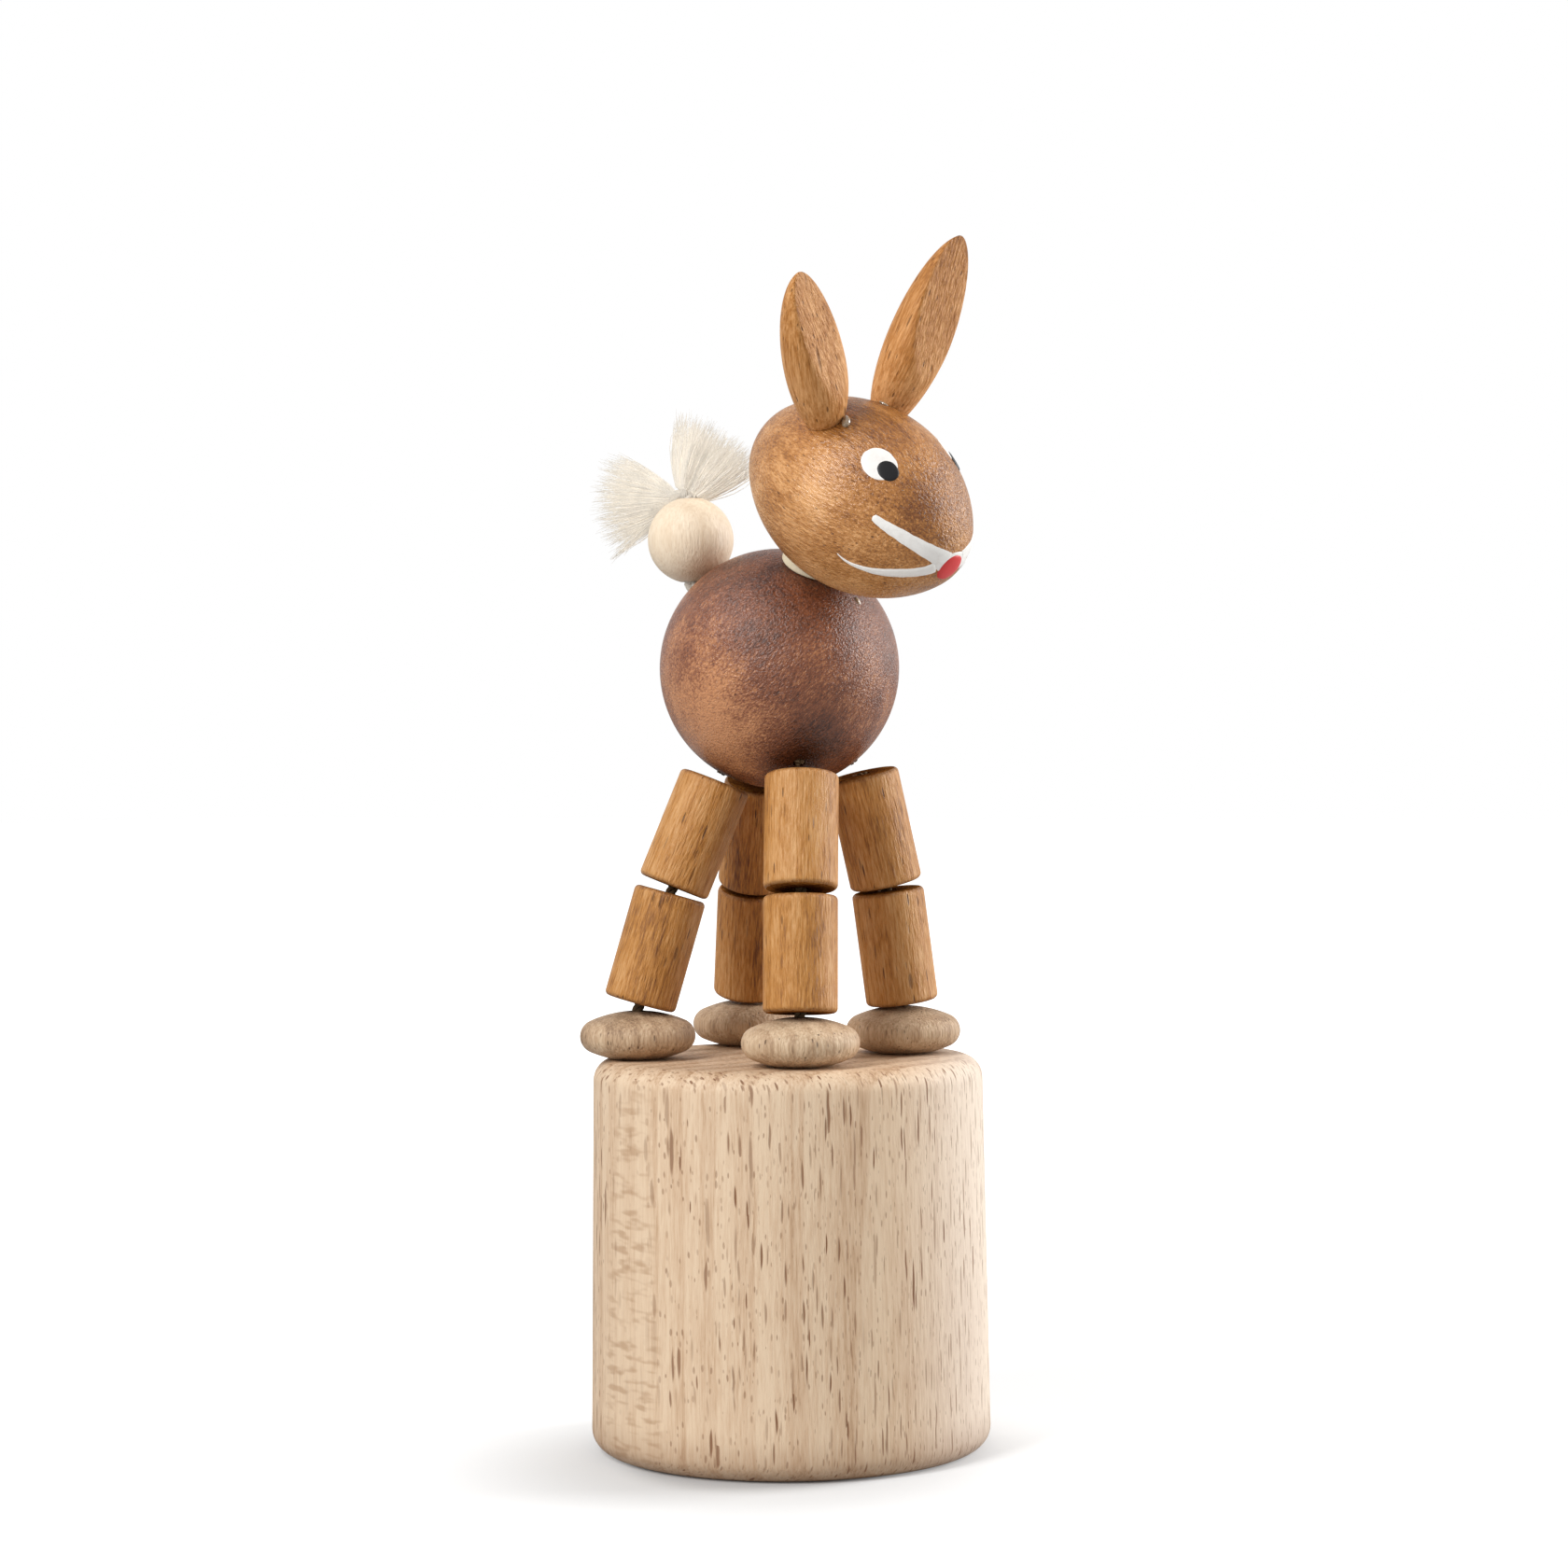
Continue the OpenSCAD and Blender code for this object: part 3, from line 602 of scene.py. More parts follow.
class Shader:
    """A material, or another owner of nodes, that is built from expressions."""

    def __init__(self, name, owner=None):
        self.material = owner or bpy.data.materials.new(name)
        self.material.use_nodes = True
        self.tree = self.material.node_tree
        self.tree.nodes.clear()

    def node(self, kind, settings=(), sockets=(), out=0):
        """Adds a node with its settings, then the values or links of its sockets."""
        made = self.tree.nodes.new(kind)
        for key, value in dict(settings).items():
            setattr(made, key, value)
        for key, value in dict(sockets).items():
            if isinstance(value, Wire):
                self.tree.links.new(value.socket, made.inputs[key])
            else:
                made.inputs[key].default_value = value
        return Wire(self, made.outputs[out]) if made.outputs else None

    def maths(self, operation, *values):
        return self.node("ShaderNodeMath", {"operation": operation}, dict(enumerate(values)))

    def vector(self, operation, *values, out=0):
        return self.node("ShaderNodeVectorMath", {"operation": operation}, dict(enumerate(values)), out)

    def mix(self, factor, a, b):
        rgb = [value if isinstance(value, Wire) else (*value, 1) for value in (a, b)]
        return self.node("ShaderNodeMix", {"data_type": "RGBA", "clamp_factor": True},
                         {0: factor, 6: rgb[0], 7: rgb[1]}, 2)

    def read(self, name, out="Vector"):
        return self.node("ShaderNodeAttribute", {"attribute_name": name}, out=out)

    def ray(self, kind):
        return self.node("ShaderNodeLightPath", out=f"Is {kind} Ray")

    def own_mm(self):
        place = self.node("ShaderNodeTexCoord", out="Object")
        return self.vector("MULTIPLY", place, (1 / MM,) * 3)

    def split(self, vector):
        made = self.node("ShaderNodeSeparateXYZ", sockets={0: vector}).socket.node
        return [Wire(self, socket) for socket in made.outputs]

    def noise(self, at, stretch, detail=2.0, roughness=0.5):
        place = self.vector("MULTIPLY", at, stretch)
        return self.node("ShaderNodeTexNoise", {},
                         {"Vector": place, "Scale": 1.0, "Detail": detail, "Roughness": roughness})

    def finish(self, base, rough, height, bump, depth, constants, through=0.0):
        """Ends in a Principled shader with a bump of a depth in mm, and a share of light let through."""
        normal = self.node("ShaderNodeBump", {},
                           {"Strength": bump, "Distance": depth * MM, "Height": height})
        made = self.node("ShaderNodeBsdfPrincipled", {},
                         {"Base Color": base, "Roughness": rough, "Normal": normal, **constants})
        if through:
            behind = self.node("ShaderNodeBsdfTranslucent", {}, {"Color": base})
            made = self.node("ShaderNodeMixShader", {}, {0: through, 1: made, 2: behind})
        self.node("ShaderNodeOutputMaterial", {}, {"Surface": made})
        return self.material


def darker(rgb, amount):
    return tuple(value * amount for value in rgb)


def flecks(s, at, cell, size, rare):
    """A mask of lens-shaped marks in cells of a size in mm, each with its own size and strength."""
    place = s.vector("DIVIDE", at, cell)
    cells = s.node("ShaderNodeTexVoronoi", {}, {"Vector": place, "Scale": 1.0, "Randomness": 1.0}).socket.node
    chance = s.split(Wire(s, cells.outputs["Color"]))
    off = s.vector("SUBTRACT", place, Wire(s, cells.outputs["Position"]))
    off = s.vector("MULTIPLY", off, tuple(c / w for c, w in zip(cell, size)))
    reach = s.vector("LENGTH", off, out="Value")
    shape = 1 - (reach / (0.4 + chance[0] * 0.7)).step(0.55, 1.0)
    shape = shape * (0.35 + 0.65 * chance[1])
    return shape * s.maths("LESS_THAN", chance[2], rare) if rare < 1 else shape


# All woods: shares of a layer in which its late wood comes and goes, noise scales per mm, and the rays' sway
LATE_COMES, LATE_GOES = (0.2, 0.9), (0.92, 1.0)
BEND_SCALE, SWAY_SCALE, RAY_SWAY = (0.07, 0.07, 0.025), (0.5, 0.5, 0.4), 0.16


def wood(name, tones, mark, look, source="grain"):
    """Turned wood along Z: layers round a pith, streaks, fibres, pores, rays, and the drift of a tone that
    holds each piece's own colour and, on some pieces, painted shade and light.
    """
    s = Shader(name)
    light, middle, dark = tones
    at = s.read("grain") if source == "grain" else s.own_mm()
    # Each piece's tone: its own darker and lighter places, and on some pieces painted shade and painted light
    tone = s.read("tone", "Fac") if source == "grain" else 0.0
    x, y, z = s.split(at)
    px, py = look["pith"]
    dx, dy = x - px, y - py
    bend = s.noise(at, BEND_SCALE) - 0.5
    across = s.maths("SQRT", dx * dx + dy * dy) + bend * look["bend"]
    around = s.maths("ARCTAN2", dy, dx) * math.hypot(px, py)
    layer = s.maths("FRACT", across / look["layer"])
    late = layer.step(*LATE_COMES) * (1 - layer.step(*LATE_GOES))
    streak = s.noise(at, look["streak"], 4.0, 0.6)
    fibre = s.noise(at, look["fibre"], 3.0, 0.7)
    cloud = s.noise(at, look["cloud"], 3.0, 0.5)
    depth = (look["base"] + late * look["late"] + (streak - 0.5) * look["streaky"]
             + (fibre - 0.5) * look["fibrous"] + (cloud - 0.5) * look["cloudy"] + tone)
    shade = s.mix(depth * 2 - 1, s.mix(depth * 2, light, middle), dark)
    sway = (s.noise(at, SWAY_SCALE, 1.0) - 0.5) * RAY_SWAY
    ray_place = s.node("ShaderNodeCombineXYZ", {}, {0: around + sway, 1: across, 2: z})
    marks = 0.0
    for where, cell, size, rare, strength in look["marks"]:
        found = flecks(s, ray_place if where == "rays" else at, cell, size, rare)
        marks = s.maths("MAXIMUM", marks, found * strength)

    def towards(way):
        return (x * way[0] + y * way[1]) / look["radius"]

    if "band" in look:
        band = look["band"]
        there = towards(band["way"]).step(*band["edge"])
        flake = s.noise(at, band["flake"], 1.0).step(*band["flakes"])
        marks = marks * (1 - there * band["calm"])
        shade = s.mix(there * band["pale"], shade, light)
        shade = s.mix(flake * there * band["flaky"], shade, dark)
    # A painted sheen: paler towards one way across the piece, where a lamp grazes it
    if "painted_sheen" in look:
        way, edge, amount, sheen_colour = look["painted_sheen"]
        shade = s.mix(towards(way).step(*edge) * amount, shade, sheen_colour)
    shade = s.mix(marks, shade, mark)
    # Painted shade along the foot, where the piece stands on the table: its reach in mm and its strength
    if "painted_foot_shade" in look:
        reach, amount = look["painted_foot_shade"]
        shade = s.mix((1 - z.step(0, reach)) * amount, shade, mark)
    if "rim" in look:
        reach, amount = look["rim"]
        span = bpy.context.scene.puppet_legs.span / MM
        ends = s.split(s.read("own"))[2] + (streak - 0.5) * 0.5
        rim = 1 - ends.step(0, reach) * (1 - ends.step(span - reach, span))
        shade = s.mix(rim * amount, shade, dark)
    grit = s.noise(at, look["grit"], 2.0, 0.6)
    height = grit * look["gritty"] + fibre * 0.6 + streak * 0.3 - marks * 0.7
    rough = look["rough"] + (fibre - 0.5) * 0.25 + (grit - 0.5) * 0.2
    return s.finish(shade, rough, height, look["bump"], look["relief"],
                    {"Specular IOR Level": look["specular"]})


def painted(name, rgb, under, thin):
    """Brushed paint, thin enough in places for the wood to show."""
    s = Shader(name)
    at = s.read("own")
    brush = s.noise(at, (1.3, 1.3, 1.3), 4.0, 0.6)
    fine = s.noise(at, (6, 6, 6), 3.0, 0.65)
    base = s.mix((brush * 0.6 + fine * 0.4).step(0.42, 0.85) * thin, rgb, under)
    height = brush * 0.7 + fine * 0.5
    return s.finish(base, 0.38 + (fine - 0.5) * 0.25, height, 0.4, 0.05, {"Specular IOR Level": 0.3})


def cotton(name, rgb, shadow, through):
    """Matt cotton with fine hairs, and painted shade between them."""
    s = Shader(name)
    at = s.own_mm()
    hair = s.noise(at, (5, 5, 5), 4.0, 0.65)
    slow = s.noise(at, (0.6, 0.6, 0.6), 2.0)
    base = s.mix((hair - 0.4) * 1.1 + (slow - 0.5) * 0.6, rgb, shadow)
    rough = 0.85 + (hair - 0.5) * 0.2
    return s.finish(base, rough, hair, 0.3, 0.04, {"Specular IOR Level": 0.1}, through)


def steel(name):
    """Drawn spring wire."""
    s = Shader(name)
    drawn = s.noise(s.own_mm(), (3, 3, 3), 3.0)
    base = s.mix(drawn, (0.42, 0.42, 0.43), (0.62, 0.61, 0.60))
    return s.finish(base, 0.28 + drawn * 0.2, drawn, 0.1, 0.02, {"Metallic": 1.0})


def dried_glue(name, rgb):
    """Clear glue that has set in a glossy drop over the stain."""
    s = Shader(name)
    cloud = s.noise(s.own_mm(), (2.5, 2.5, 2.5), 3.0)
    base = s.mix(cloud.step(0.35, 0.7), rgb, darker(rgb, 0.45))
    coat = {"Coat Weight": 0.8, "Coat Roughness": 0.08}
    return s.finish(base, 0.12 + cloud * 0.15, cloud, 0.3, 0.05, coat)


# Looks of the woods. Lengths and noise scales are in mm or per mm, along Z last.
# A mark has the kind of its place, its cell's size, its own size, the share of cells with one, its strength.


def pores(cell, size, strength):
    return (("pores", cell, size, 1.0, strength),)


BEECH = {
    "pith": (-70.0, 1.0), "layer": 3.1, "bend": 2.2, "base": 0.11, "late": 0.34, "radius": 19.1,
    "streak": (1.3, 1.3, 0.035), "streaky": 0.85, "fibre": (4.2, 4.2, 0.28), "fibrous": 1.7,
    "cloud": (0.10, 0.10, 0.05), "cloudy": 0.45, "grit": (5.0, 5.0, 1.1), "gritty": 0.6,
    "marks": (("rays", (1.05, 1.5, 4.8), (0.14, 0.48, 3.4), 0.95, 1.0),
              ("rays", (0.55, 1.0, 2.7), (0.1, 0.34, 1.7), 1.0, 1.0),
              ("rays", (0.36, 0.7, 1.1), (0.07, 0.3, 0.45), 1.0, 0.6)),
    "band": {"way": (-0.292, -0.956), "edge": (0.962, 0.986), "flake": (0.42, 0.42, 1.5),
             "flakes": (0.45, 0.72), "calm": 0.75, "pale": 0.4, "flaky": 0.58},
    # Painted sheen on the drum's side that faces the right-hand lamp
    "painted_sheen": ((0.817, 0.576), (0.45, 1.0), 0.45, (0.86, 0.80, 0.73)),
    # Painted shade along the drum's foot, where it stands on the table
    "painted_foot_shade": (5.0, 0.46), "rough": 0.6, "bump": 0.5, "relief": 0.12, "specular": 0.45,
}
STAINED = {
    "layer": 1.9, "bend": 1.6, "base": 0.36, "late": 0.14,
    "streak": (1.2, 1.2, 0.09), "streaky": 0.7, "fibre": (4.2, 4.2, 0.45), "fibrous": 1.3,
    "cloud": (0.17, 0.17, 0.10), "cloudy": 0.6, "grit": (4.2, 4.2, 0.8), "gritty": 0.9,
    "marks": (("pores", (0.62, 0.62, 2.0), (0.10, 0.10, 0.85), 1.0, 0.95),
              ("pores", (3.2, 3.2, 7.0), (0.20, 0.9, 1.7), 0.5, 0.9)),
    "rough": 0.46, "bump": 0.8, "relief": 0.17, "specular": 0.36,
}

# Each stained wood: the colours it takes, and where it differs from STAINED
WOODS = {
    "foot": ("foot", {
        "pith": (-14, 9), "fibre": (4.6, 4.6, 0.4), "fibrous": 1.4, "cloudy": 0.9, "base": 0.34,
        "rough": 0.55, "marks": pores((0.6, 0.6, 1.2), (0.11, 0.11, 0.5), 0.8)}),
    "leg": ("leg", {
        "pith": (-9, 5), "fibre": (5.0, 5.0, 0.5), "fibrous": 2.0, "cloudy": 0.9, "base": 0.34,
        "rim": (0.5, 0.5)}),
    # End faces of the leg pieces: darker end grain, and partly painted shade, as they face into the gaps at
    # the joints and under the ball
    "leg_end": ("leg", {"pith": (-9, 5), "base": 0.75, "specular": 0.0}),
    "ball": ("ball", {
        "pith": (-30, 12), "late": 0.04, "streaky": 0.3, "fibre": (5.0, 5.0, 1.9), "fibrous": 1.7,
        "cloud": (0.3, 0.3, 0.22), "cloudy": 0.9, "base": 0.55, "grit": (5.0, 5.0, 3.0), "gritty": 1.6,
        "bump": 1.0, "relief": 0.09, "rough": 0.28, "specular": 0.5,
        "marks": pores((0.55, 0.55, 0.9), (0.09, 0.09, 0.24), 0.6)}),
    "head": ("head", {
        "pith": (-30, 16), "late": 0.08, "streaky": 0.6, "fibre": (5.0, 5.0, 1.2), "fibrous": 1.9,
        "cloud": (0.34, 0.34, 0.26), "cloudy": 0.9, "base": 0.46, "grit": (4.2, 4.2, 1.5), "gritty": 1.6,
        "bump": 1.0, "relief": 0.1, "rough": 0.28, "specular": 0.5,
        "marks": pores((0.6, 0.6, 1.1), (0.10, 0.10, 0.36), 0.7)}),
    "ear": ("head", {
        "pith": (-12, 6), "base": 0.35, "late": 0.1, "rough": 0.5, "streaky": 0.6, "fibrous": 1.7,
        "cloudy": 0.8, "specular": 0.2}),
    "neck": ("neck", {
        "pith": (-12, 4), "fibrous": 0.5, "relief": 0.06,
        "marks": pores((0.9, 0.9, 2.0), (0.1, 0.1, 0.5), 0.2)}),
    "bead": ("bead", {
        "pith": (-16, 7), "base": 0.10, "streaky": 0.6, "fibre": (4.6, 4.6, 0.5), "fibrous": 1.2,
        "relief": 0.10, "marks": pores((0.9, 0.9, 2.0), (0.10, 0.10, 0.6), 0.3)}),
}

# Each paint: what shows through it where it is thin, and how much
PAINTS = {
    "white": ((0.50, 0.42, 0.38), 0.28),
    "black": ((0.05, 0.045, 0.045), 0.05),
    "red": ((0.75, 0.16, 0.15), 0.12),
}

# Each cotton: its painted shade between its fibres, as a share of its colour, and its share of light let
# through
COTTONS = {"cord": (0.8, 0.0), "yarn": (0.8, 0.1), "tuft": (0.55, 0.1)}


def stained_tones(colours, kind):
    """Light, middle and dark tone of a wood, and the colour of its marks."""
    light = getattr(colours, kind)
    if kind == "neck":
        return (light, darker(light, 0.93), darker(light, 0.75)), darker(light, 0.6)
    dark = getattr(colours, kind + "_dark")
    middle = getattr(colours, kind + "_mid", None) or [(a + b) / 2 for a, b in zip(light, dark)]
    return (light, middle, dark), darker(dark, 0.5)


def make_finish(key, name):
    """Makes one of the puppet's materials."""
    c = bpy.context.scene.puppet_colours
    if key in ("beech", "button"):
        tones = (c.beech, c.beech_mid, c.beech_late)
        return wood(name, tones, c.fleck, BEECH, "grain" if key == "beech" else "object")
    if key in WOODS:
        kind, changes = WOODS[key]
        return wood(name, *stained_tones(c, kind), {**STAINED, **changes})
    if key == "steel":
        return steel(name)
    rgb = getattr(c, key)
    if key in PAINTS:
        return painted(name, rgb, *PAINTS[key])
    if key == "glue":
        return dried_glue(name, rgb)
    between, through = COTTONS[key]
    return cotton(name, rgb, darker(rgb, between), through)


def finish_of(key):
    """A material by its key, made at its first use."""
    name = key + "_looks"
    return bpy.data.materials.get(name) or make_finish(key, name)


class PieceOperator(bpy.types.Operator):
    """Base of the operators that build pieces."""

    bl_options = {"REGISTER", "UNDO"}


# Stage, in metres except for the camera's place, with right and toward as the camera sees them

RIGHT, TOWARD = Vector((0.817, 0.576, 0)), Vector((0.576, -0.817, 0))
LAMP_AIM = UP * 0.06
# Each lamp: its place to the right, toward the camera and up, its width and height, its power
SOFTBOXES = {
    "left_softbox": (-0.5, 0.52, 0.52, 0.32, 0.38, 4.6),
    "right_softbox": (0.70, -0.20, 0.26, 0.34, 0.75, 7.4),
    "top_softbox": (-0.33, 0.36, 0.72, 0.15, 0.15, 1.7),
}
CAMERA_AT_MM = Vector((190.8, -270.5, 65.7))
CAMERA_ROLL = math.radians(-0.56)
ROOM_LIGHT, ROOM_SEEN, ROOM_MIRRORED = 0.42, 1.0, 0.5
TABLE_HALF = 3.0
# The soft shade in front of the drum: its middle in mm, and how the table clears from a distance to another
SHADE_AT, SHADE_DARK = (3.3, -9.9, 0.0), 0.02
SHADE_CLEARS = ((9, 14, 0.18), (10, 36, 0.40), (36, 400, 0.40))


class PUPPET_OT_stage(PieceOperator):
    """Build the floor, the lights and the camera"""

    bl_idname = "puppet.stage"
    bl_label = "Stage"

    def execute(self, context):
        scene = context.scene
        scene.view_settings.view_transform = "Standard"
        self.floor()
        self.world(scene)
        for name, lamp in SOFTBOXES.items():
            self.lamp(scene, name, *lamp)
        self.camera(scene)
        return {"FINISHED"}

    def floor(self):
        s = Shader("white_table")
        table = s.node("ShaderNodeBsdfDiffuse", {}, {"Color": (0.50, 0.50, 0.50, 1)})
        away = s.vector("DISTANCE", s.own_mm(), SHADE_AT, out="Value")
        clear = sum(away.step(start, end) * gain for start, end, gain in SHADE_CLEARS)
        shine = s.mix(clear, (SHADE_DARK,) * 3, (1, 1, 1))
        glow = s.node("ShaderNodeEmission", {}, {"Color": shine, "Strength": s.ray("Camera")})
        both = s.node("ShaderNodeAddShader", {}, {0: table, 1: glow})
        s.node("ShaderNodeOutputMaterial", {}, {"Surface": both})
        bm = bmesh.new()
        bmesh.ops.create_grid(bm, x_segments=1, y_segments=1, size=TABLE_HALF)
        floor = add_object("table", bm, s.material)

    def world(self, scene):
        scene.world = bpy.data.worlds.new("white_room")
        s = Shader("white_room", scene.world)
        mirrored = s.maths("MULTIPLY_ADD", s.ray("Glossy"), ROOM_MIRRORED, s.ray("Transmission"))
        seen = s.maths("MAXIMUM", s.ray("Camera"), mirrored)
        strength = s.node("ShaderNodeMapRange", {},
                          {"Value": seen, "To Min": ROOM_LIGHT, "To Max": ROOM_SEEN})
        light = s.node("ShaderNodeBackground", {}, {"Color": (1, 1, 1, 1), "Strength": strength})
        s.node("ShaderNodeOutputWorld", {}, {"Surface": light})

    def lamp(self, scene, name, right, toward, up, width, height, power):
        light = bpy.data.lights.new(name, "AREA")
        light.shape, light.size, light.size_y, light.energy = "RECTANGLE", width, height, power
        made = bpy.data.objects.new(name, light)
        made.location = RIGHT * right + TOWARD * toward + UP * up
        made.rotation_euler = (LAMP_AIM - made.location).to_track_quat("-Z", "Y").to_euler()
        scene.collection.objects.link(made)

    def camera(self, scene):
        lens = bpy.data.cameras.new("camera")
        lens.sensor_width = 36.0
        lens.lens = 78.83
        lens.shift_x, lens.shift_y = -0.0006, -0.0137
        lens.clip_start, lens.clip_end = 0.01, 20
        made = bpy.data.objects.new("camera", lens)
        scene.collection.objects.link(made)
        heading = Vector((-CAMERA_AT_MM.x, -CAMERA_AT_MM.y, 0)).normalized()
        turn = Matrix((heading.cross(UP), UP, -heading)).transposed().to_4x4()
        roll = Matrix.Rotation(CAMERA_ROLL, 4, "Z")
        made.matrix_world = Matrix.Translation(CAMERA_AT_MM * MM) @ turn @ roll
        scene.camera = made


# Darker tones of the drum: on the end grain from a height over so many mm on its top, and a painted shade up
# to a height at its foot, where it stands on the table
DRUM_TOP_FROM, DRUM_TOP_OVER, DRUM_TOP_TONE = 36.4, 0.9, 0.3
DRUM_FOOT_SHADE_TO, DRUM_FOOT_SHADE = 2.4, 0.14


class PUPPET_OT_drum(PieceOperator):
    """Build the drum and finish its button"""

    bl_idname = "puppet.drum"
    bl_label = "Drum"

    def execute(self, context):
        d = context.scene.puppet_drum
        top, foot, bore = d.top_width / 2, d.foot_width / 2, d.bore / 2
        keep = d.edge * EASE_ROOM
        low, high = keep / d.height, 1 - keep / d.height
        ceiling = d.height - d.ceiling
        bm = turned([
            (0, d.height), (top - keep, d.height), (top, d.height),
            (foot + (top - foot) * high, d.height * high), (foot + (top - foot) * low, d.height * low),
            (foot, 0), (foot - keep * 0.9, 0), (bore + d.chamfer, 0), (bore, d.chamfer),
            (bore, ceiling), (0, ceiling)], 160)
        ease(bm, top, d.height, d.edge, 10)
        ease(bm, foot, 0, d.edge, 10)
        made = piece("drum_turned", bm, finish_of("beech"), seed=None, tone=self.tone)
        stands_for(made, "base", "raw_beech", "drum")
        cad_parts["button"].data.materials.clear()
        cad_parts["button"].data.materials.append(finish_of("button"))
        return {"FINISHED"}

    def tone(self, at):
        """Darker on the end grain of the top, and a little painted shade at the foot."""
        top = max(0, min(1, (at.z - DRUM_TOP_FROM) / DRUM_TOP_OVER))
        return DRUM_TOP_TONE * top + DRUM_FOOT_SHADE * max(0, 1 - at.z / DRUM_FOOT_SHADE_TO)


FOOT_TONES = {"front_right": -0.05, "front_left": 0.0, "rear_right": 0.08, "rear_left": 0.05}


class PUPPET_OT_feet(PieceOperator):
    """Build the four lentil-shaped feet"""

    bl_idname = "puppet.feet"
    bl_label = "Feet"

    def execute(self, context):
        legs = context.scene.puppet_legs
        half = (legs.foot_height + legs.foot_flat) / 2
        lentil = half_egg(legs.foot / 2, half, legs.foot_rim, 14)
        dome = [(r, z + half - legs.foot_flat) for z, r in lentil]
        below = [(r, 2 * (half - legs.foot_flat) - z) for r, z in reversed(dome[:-1])]
        hole = legs.hole / 2
        outline = [p for p in dome + below if p[0] > hole]
        outline = [(hole, outline[0][1])] + outline + [(hole, outline[-1][1])]
        for number, name in enumerate(LEGS):
            bm = turned(outline + [outline[0]], 80)
            bmesh.ops.bridge_loops(bm, edges=sliced(bm, (0, 0, 0), -UP))
            place = Matrix.Translation(leg_line(context.scene, name).foot)
            made = piece("foot_turned_" + name, bm, finish_of("foot"), place, 31 + number,
                         tone=FOOT_TONES[name])
            stands_for(made, "base", "foot_wood", "foot_" + name)
        return {"FINISHED"}


# Tones of the shins and thighs, partly painted light: the rear left pieces are darker as painted shade, and
# the front left shin lighter to lift its shade; and how much darker they are inside their holes, a painted
# shade, within a distance in mm of the axis
LEG_TONES_AND_LIGHT = {
    "shin": {"front_right": 0.03, "front_left": -0.06, "rear_right": 0.12, "rear_left": 0.12},
    "thigh": {"front_right": -0.02, "front_left": 0.02, "rear_right": -0.1, "rear_left": 0.10},
}
LEG_HOLE_SHADE, LEG_HOLE_SHADE_R = 0.5, 2
# Faces whose normal has more than this along the piece are its ends
END_FACE = 0.9


class PUPPET_OT_legs(PieceOperator):
    """Build the eight leg pieces"""

    bl_idname = "puppet.legs"
    bl_label = "Leg pieces"

    def execute(self, context):
        legs = context.scene.puppet_legs
        keep = legs.edge * EASE_ROOM
        seed = 51
        for name in LEGS:
            line = leg_line(context.scene, name)
            for part, end, way in (("shin", line.shin_end, line.shin), ("thigh", line.thigh_end, line.thigh)):
                bm = bored(legs.width, legs.span, legs.hole, legs.edge, (keep, legs.span - keep))
                for face in bm.faces:
                    face.material_index = int(abs(face.normal.z) > END_FACE)
                made = piece(f"{part}_turned_{name}", bm, finish_of("leg"), facing(end, way), seed,
                             self.tone(LEG_TONES_AND_LIGHT[part][name]))
                made.data.materials.append(finish_of("leg_end"))
                stands_for(made, f"{part}_{name}", "leg_wood", f"{part}_{name}")
                seed += 1
        return {"FINISHED"}

    def tone(self, own):
        """Tone of a leg piece by place: its own, and a painted shade inside its hole."""
        return lambda at: own + (LEG_HOLE_SHADE if at.xy.length < LEG_HOLE_SHADE_R else 0)


# Stain and painted shade of the ball by direction: worn golden on the right flank, and darkest towards the
# neck and the front legs, a painted shade where the head and the legs shade it
BALL_STAIN_AND_SHADE = (
    ((-0.2, -0.88, -0.35), 1.0, -0.32),
    ((-0.42, -0.85, 0.25), 0.6, -0.16),
    ((-0.05, -0.82, -0.57), 0.85, -0.3),
    ((0.56, -0.45, -0.69), 0.5, 0.4),
    ((0.25, -0.35, 0.85), 1.1, 0.3),
)
BALL_FIBRES = Vector((0.6, 0.42, 0.68))
BALL_DROP = Vector((0.843, -0.072, 0.532)).normalized()


class PUPPET_OT_ball(PieceOperator):
    """Build the body's ball and the neck disc"""

    bl_idname = "puppet.ball"
    bl_label = "Ball and neck"

    def execute(self, context):
        scene = context.scene
        body, legs, a = scene.puppet_body, scene.puppet_legs, animal(scene)
        bm = bmesh.new()
        bmesh.ops.create_uvsphere(bm, u_segments=112, v_segments=72, radius=a.ball_r)
        bmesh.ops.edgeloop_fill(bm, edges=sliced(bm, a.neck_way * a.ball_flat, a.neck_way))
        leg_ways = [(leg_line(scene, name).thigh_top - a.ball).normalized() for name in LEGS]
        sockets = [(way, a.ball_r, legs.cord * 1.1) for way in leg_ways]
        sockets.append((a.tail_way, a.ball_r, scene.puppet_tail.hole))
        sockets.append((a.neck_way, a.ball_flat, legs.hole))
        holes = [(way * (r + OVERCUT), -way, body.socket + OVERCUT, width) for way, r, width in sockets]
        made = piece("ball_turned", drilled(bm, *holes), finish_of("ball"), Matrix.Translation(a.ball), 71,
                     self.stain_and_painted_light, BALL_FIBRES)
        stands_for(made, "body", "ball_wood", "body_ball")
        bm = bored(body.neck, body.neck_depth, legs.hole, body.neck_edge)
        made = piece("neck_turned", bm, finish_of("neck"), facing(a.neck, a.neck_way), 73)
        stands_for(made, "neck", "neck_wood", "neck_disc")
        at = a.ball + BALL_DROP * a.ball_r
        add_drop("glue_drop_ball", at, BALL_DROP, (0.45, 0.3, 0.16), "body", "ball_wood")
        return {"FINISHED"}

    # Stained tone of the ball: painted shade under the head and over the front legs, and a drift of tone
    def stain_and_painted_light(self, at):
        return spots(at.normalized(), BALL_STAIN_AND_SHADE) + drift(at, 6.0, 0.12)


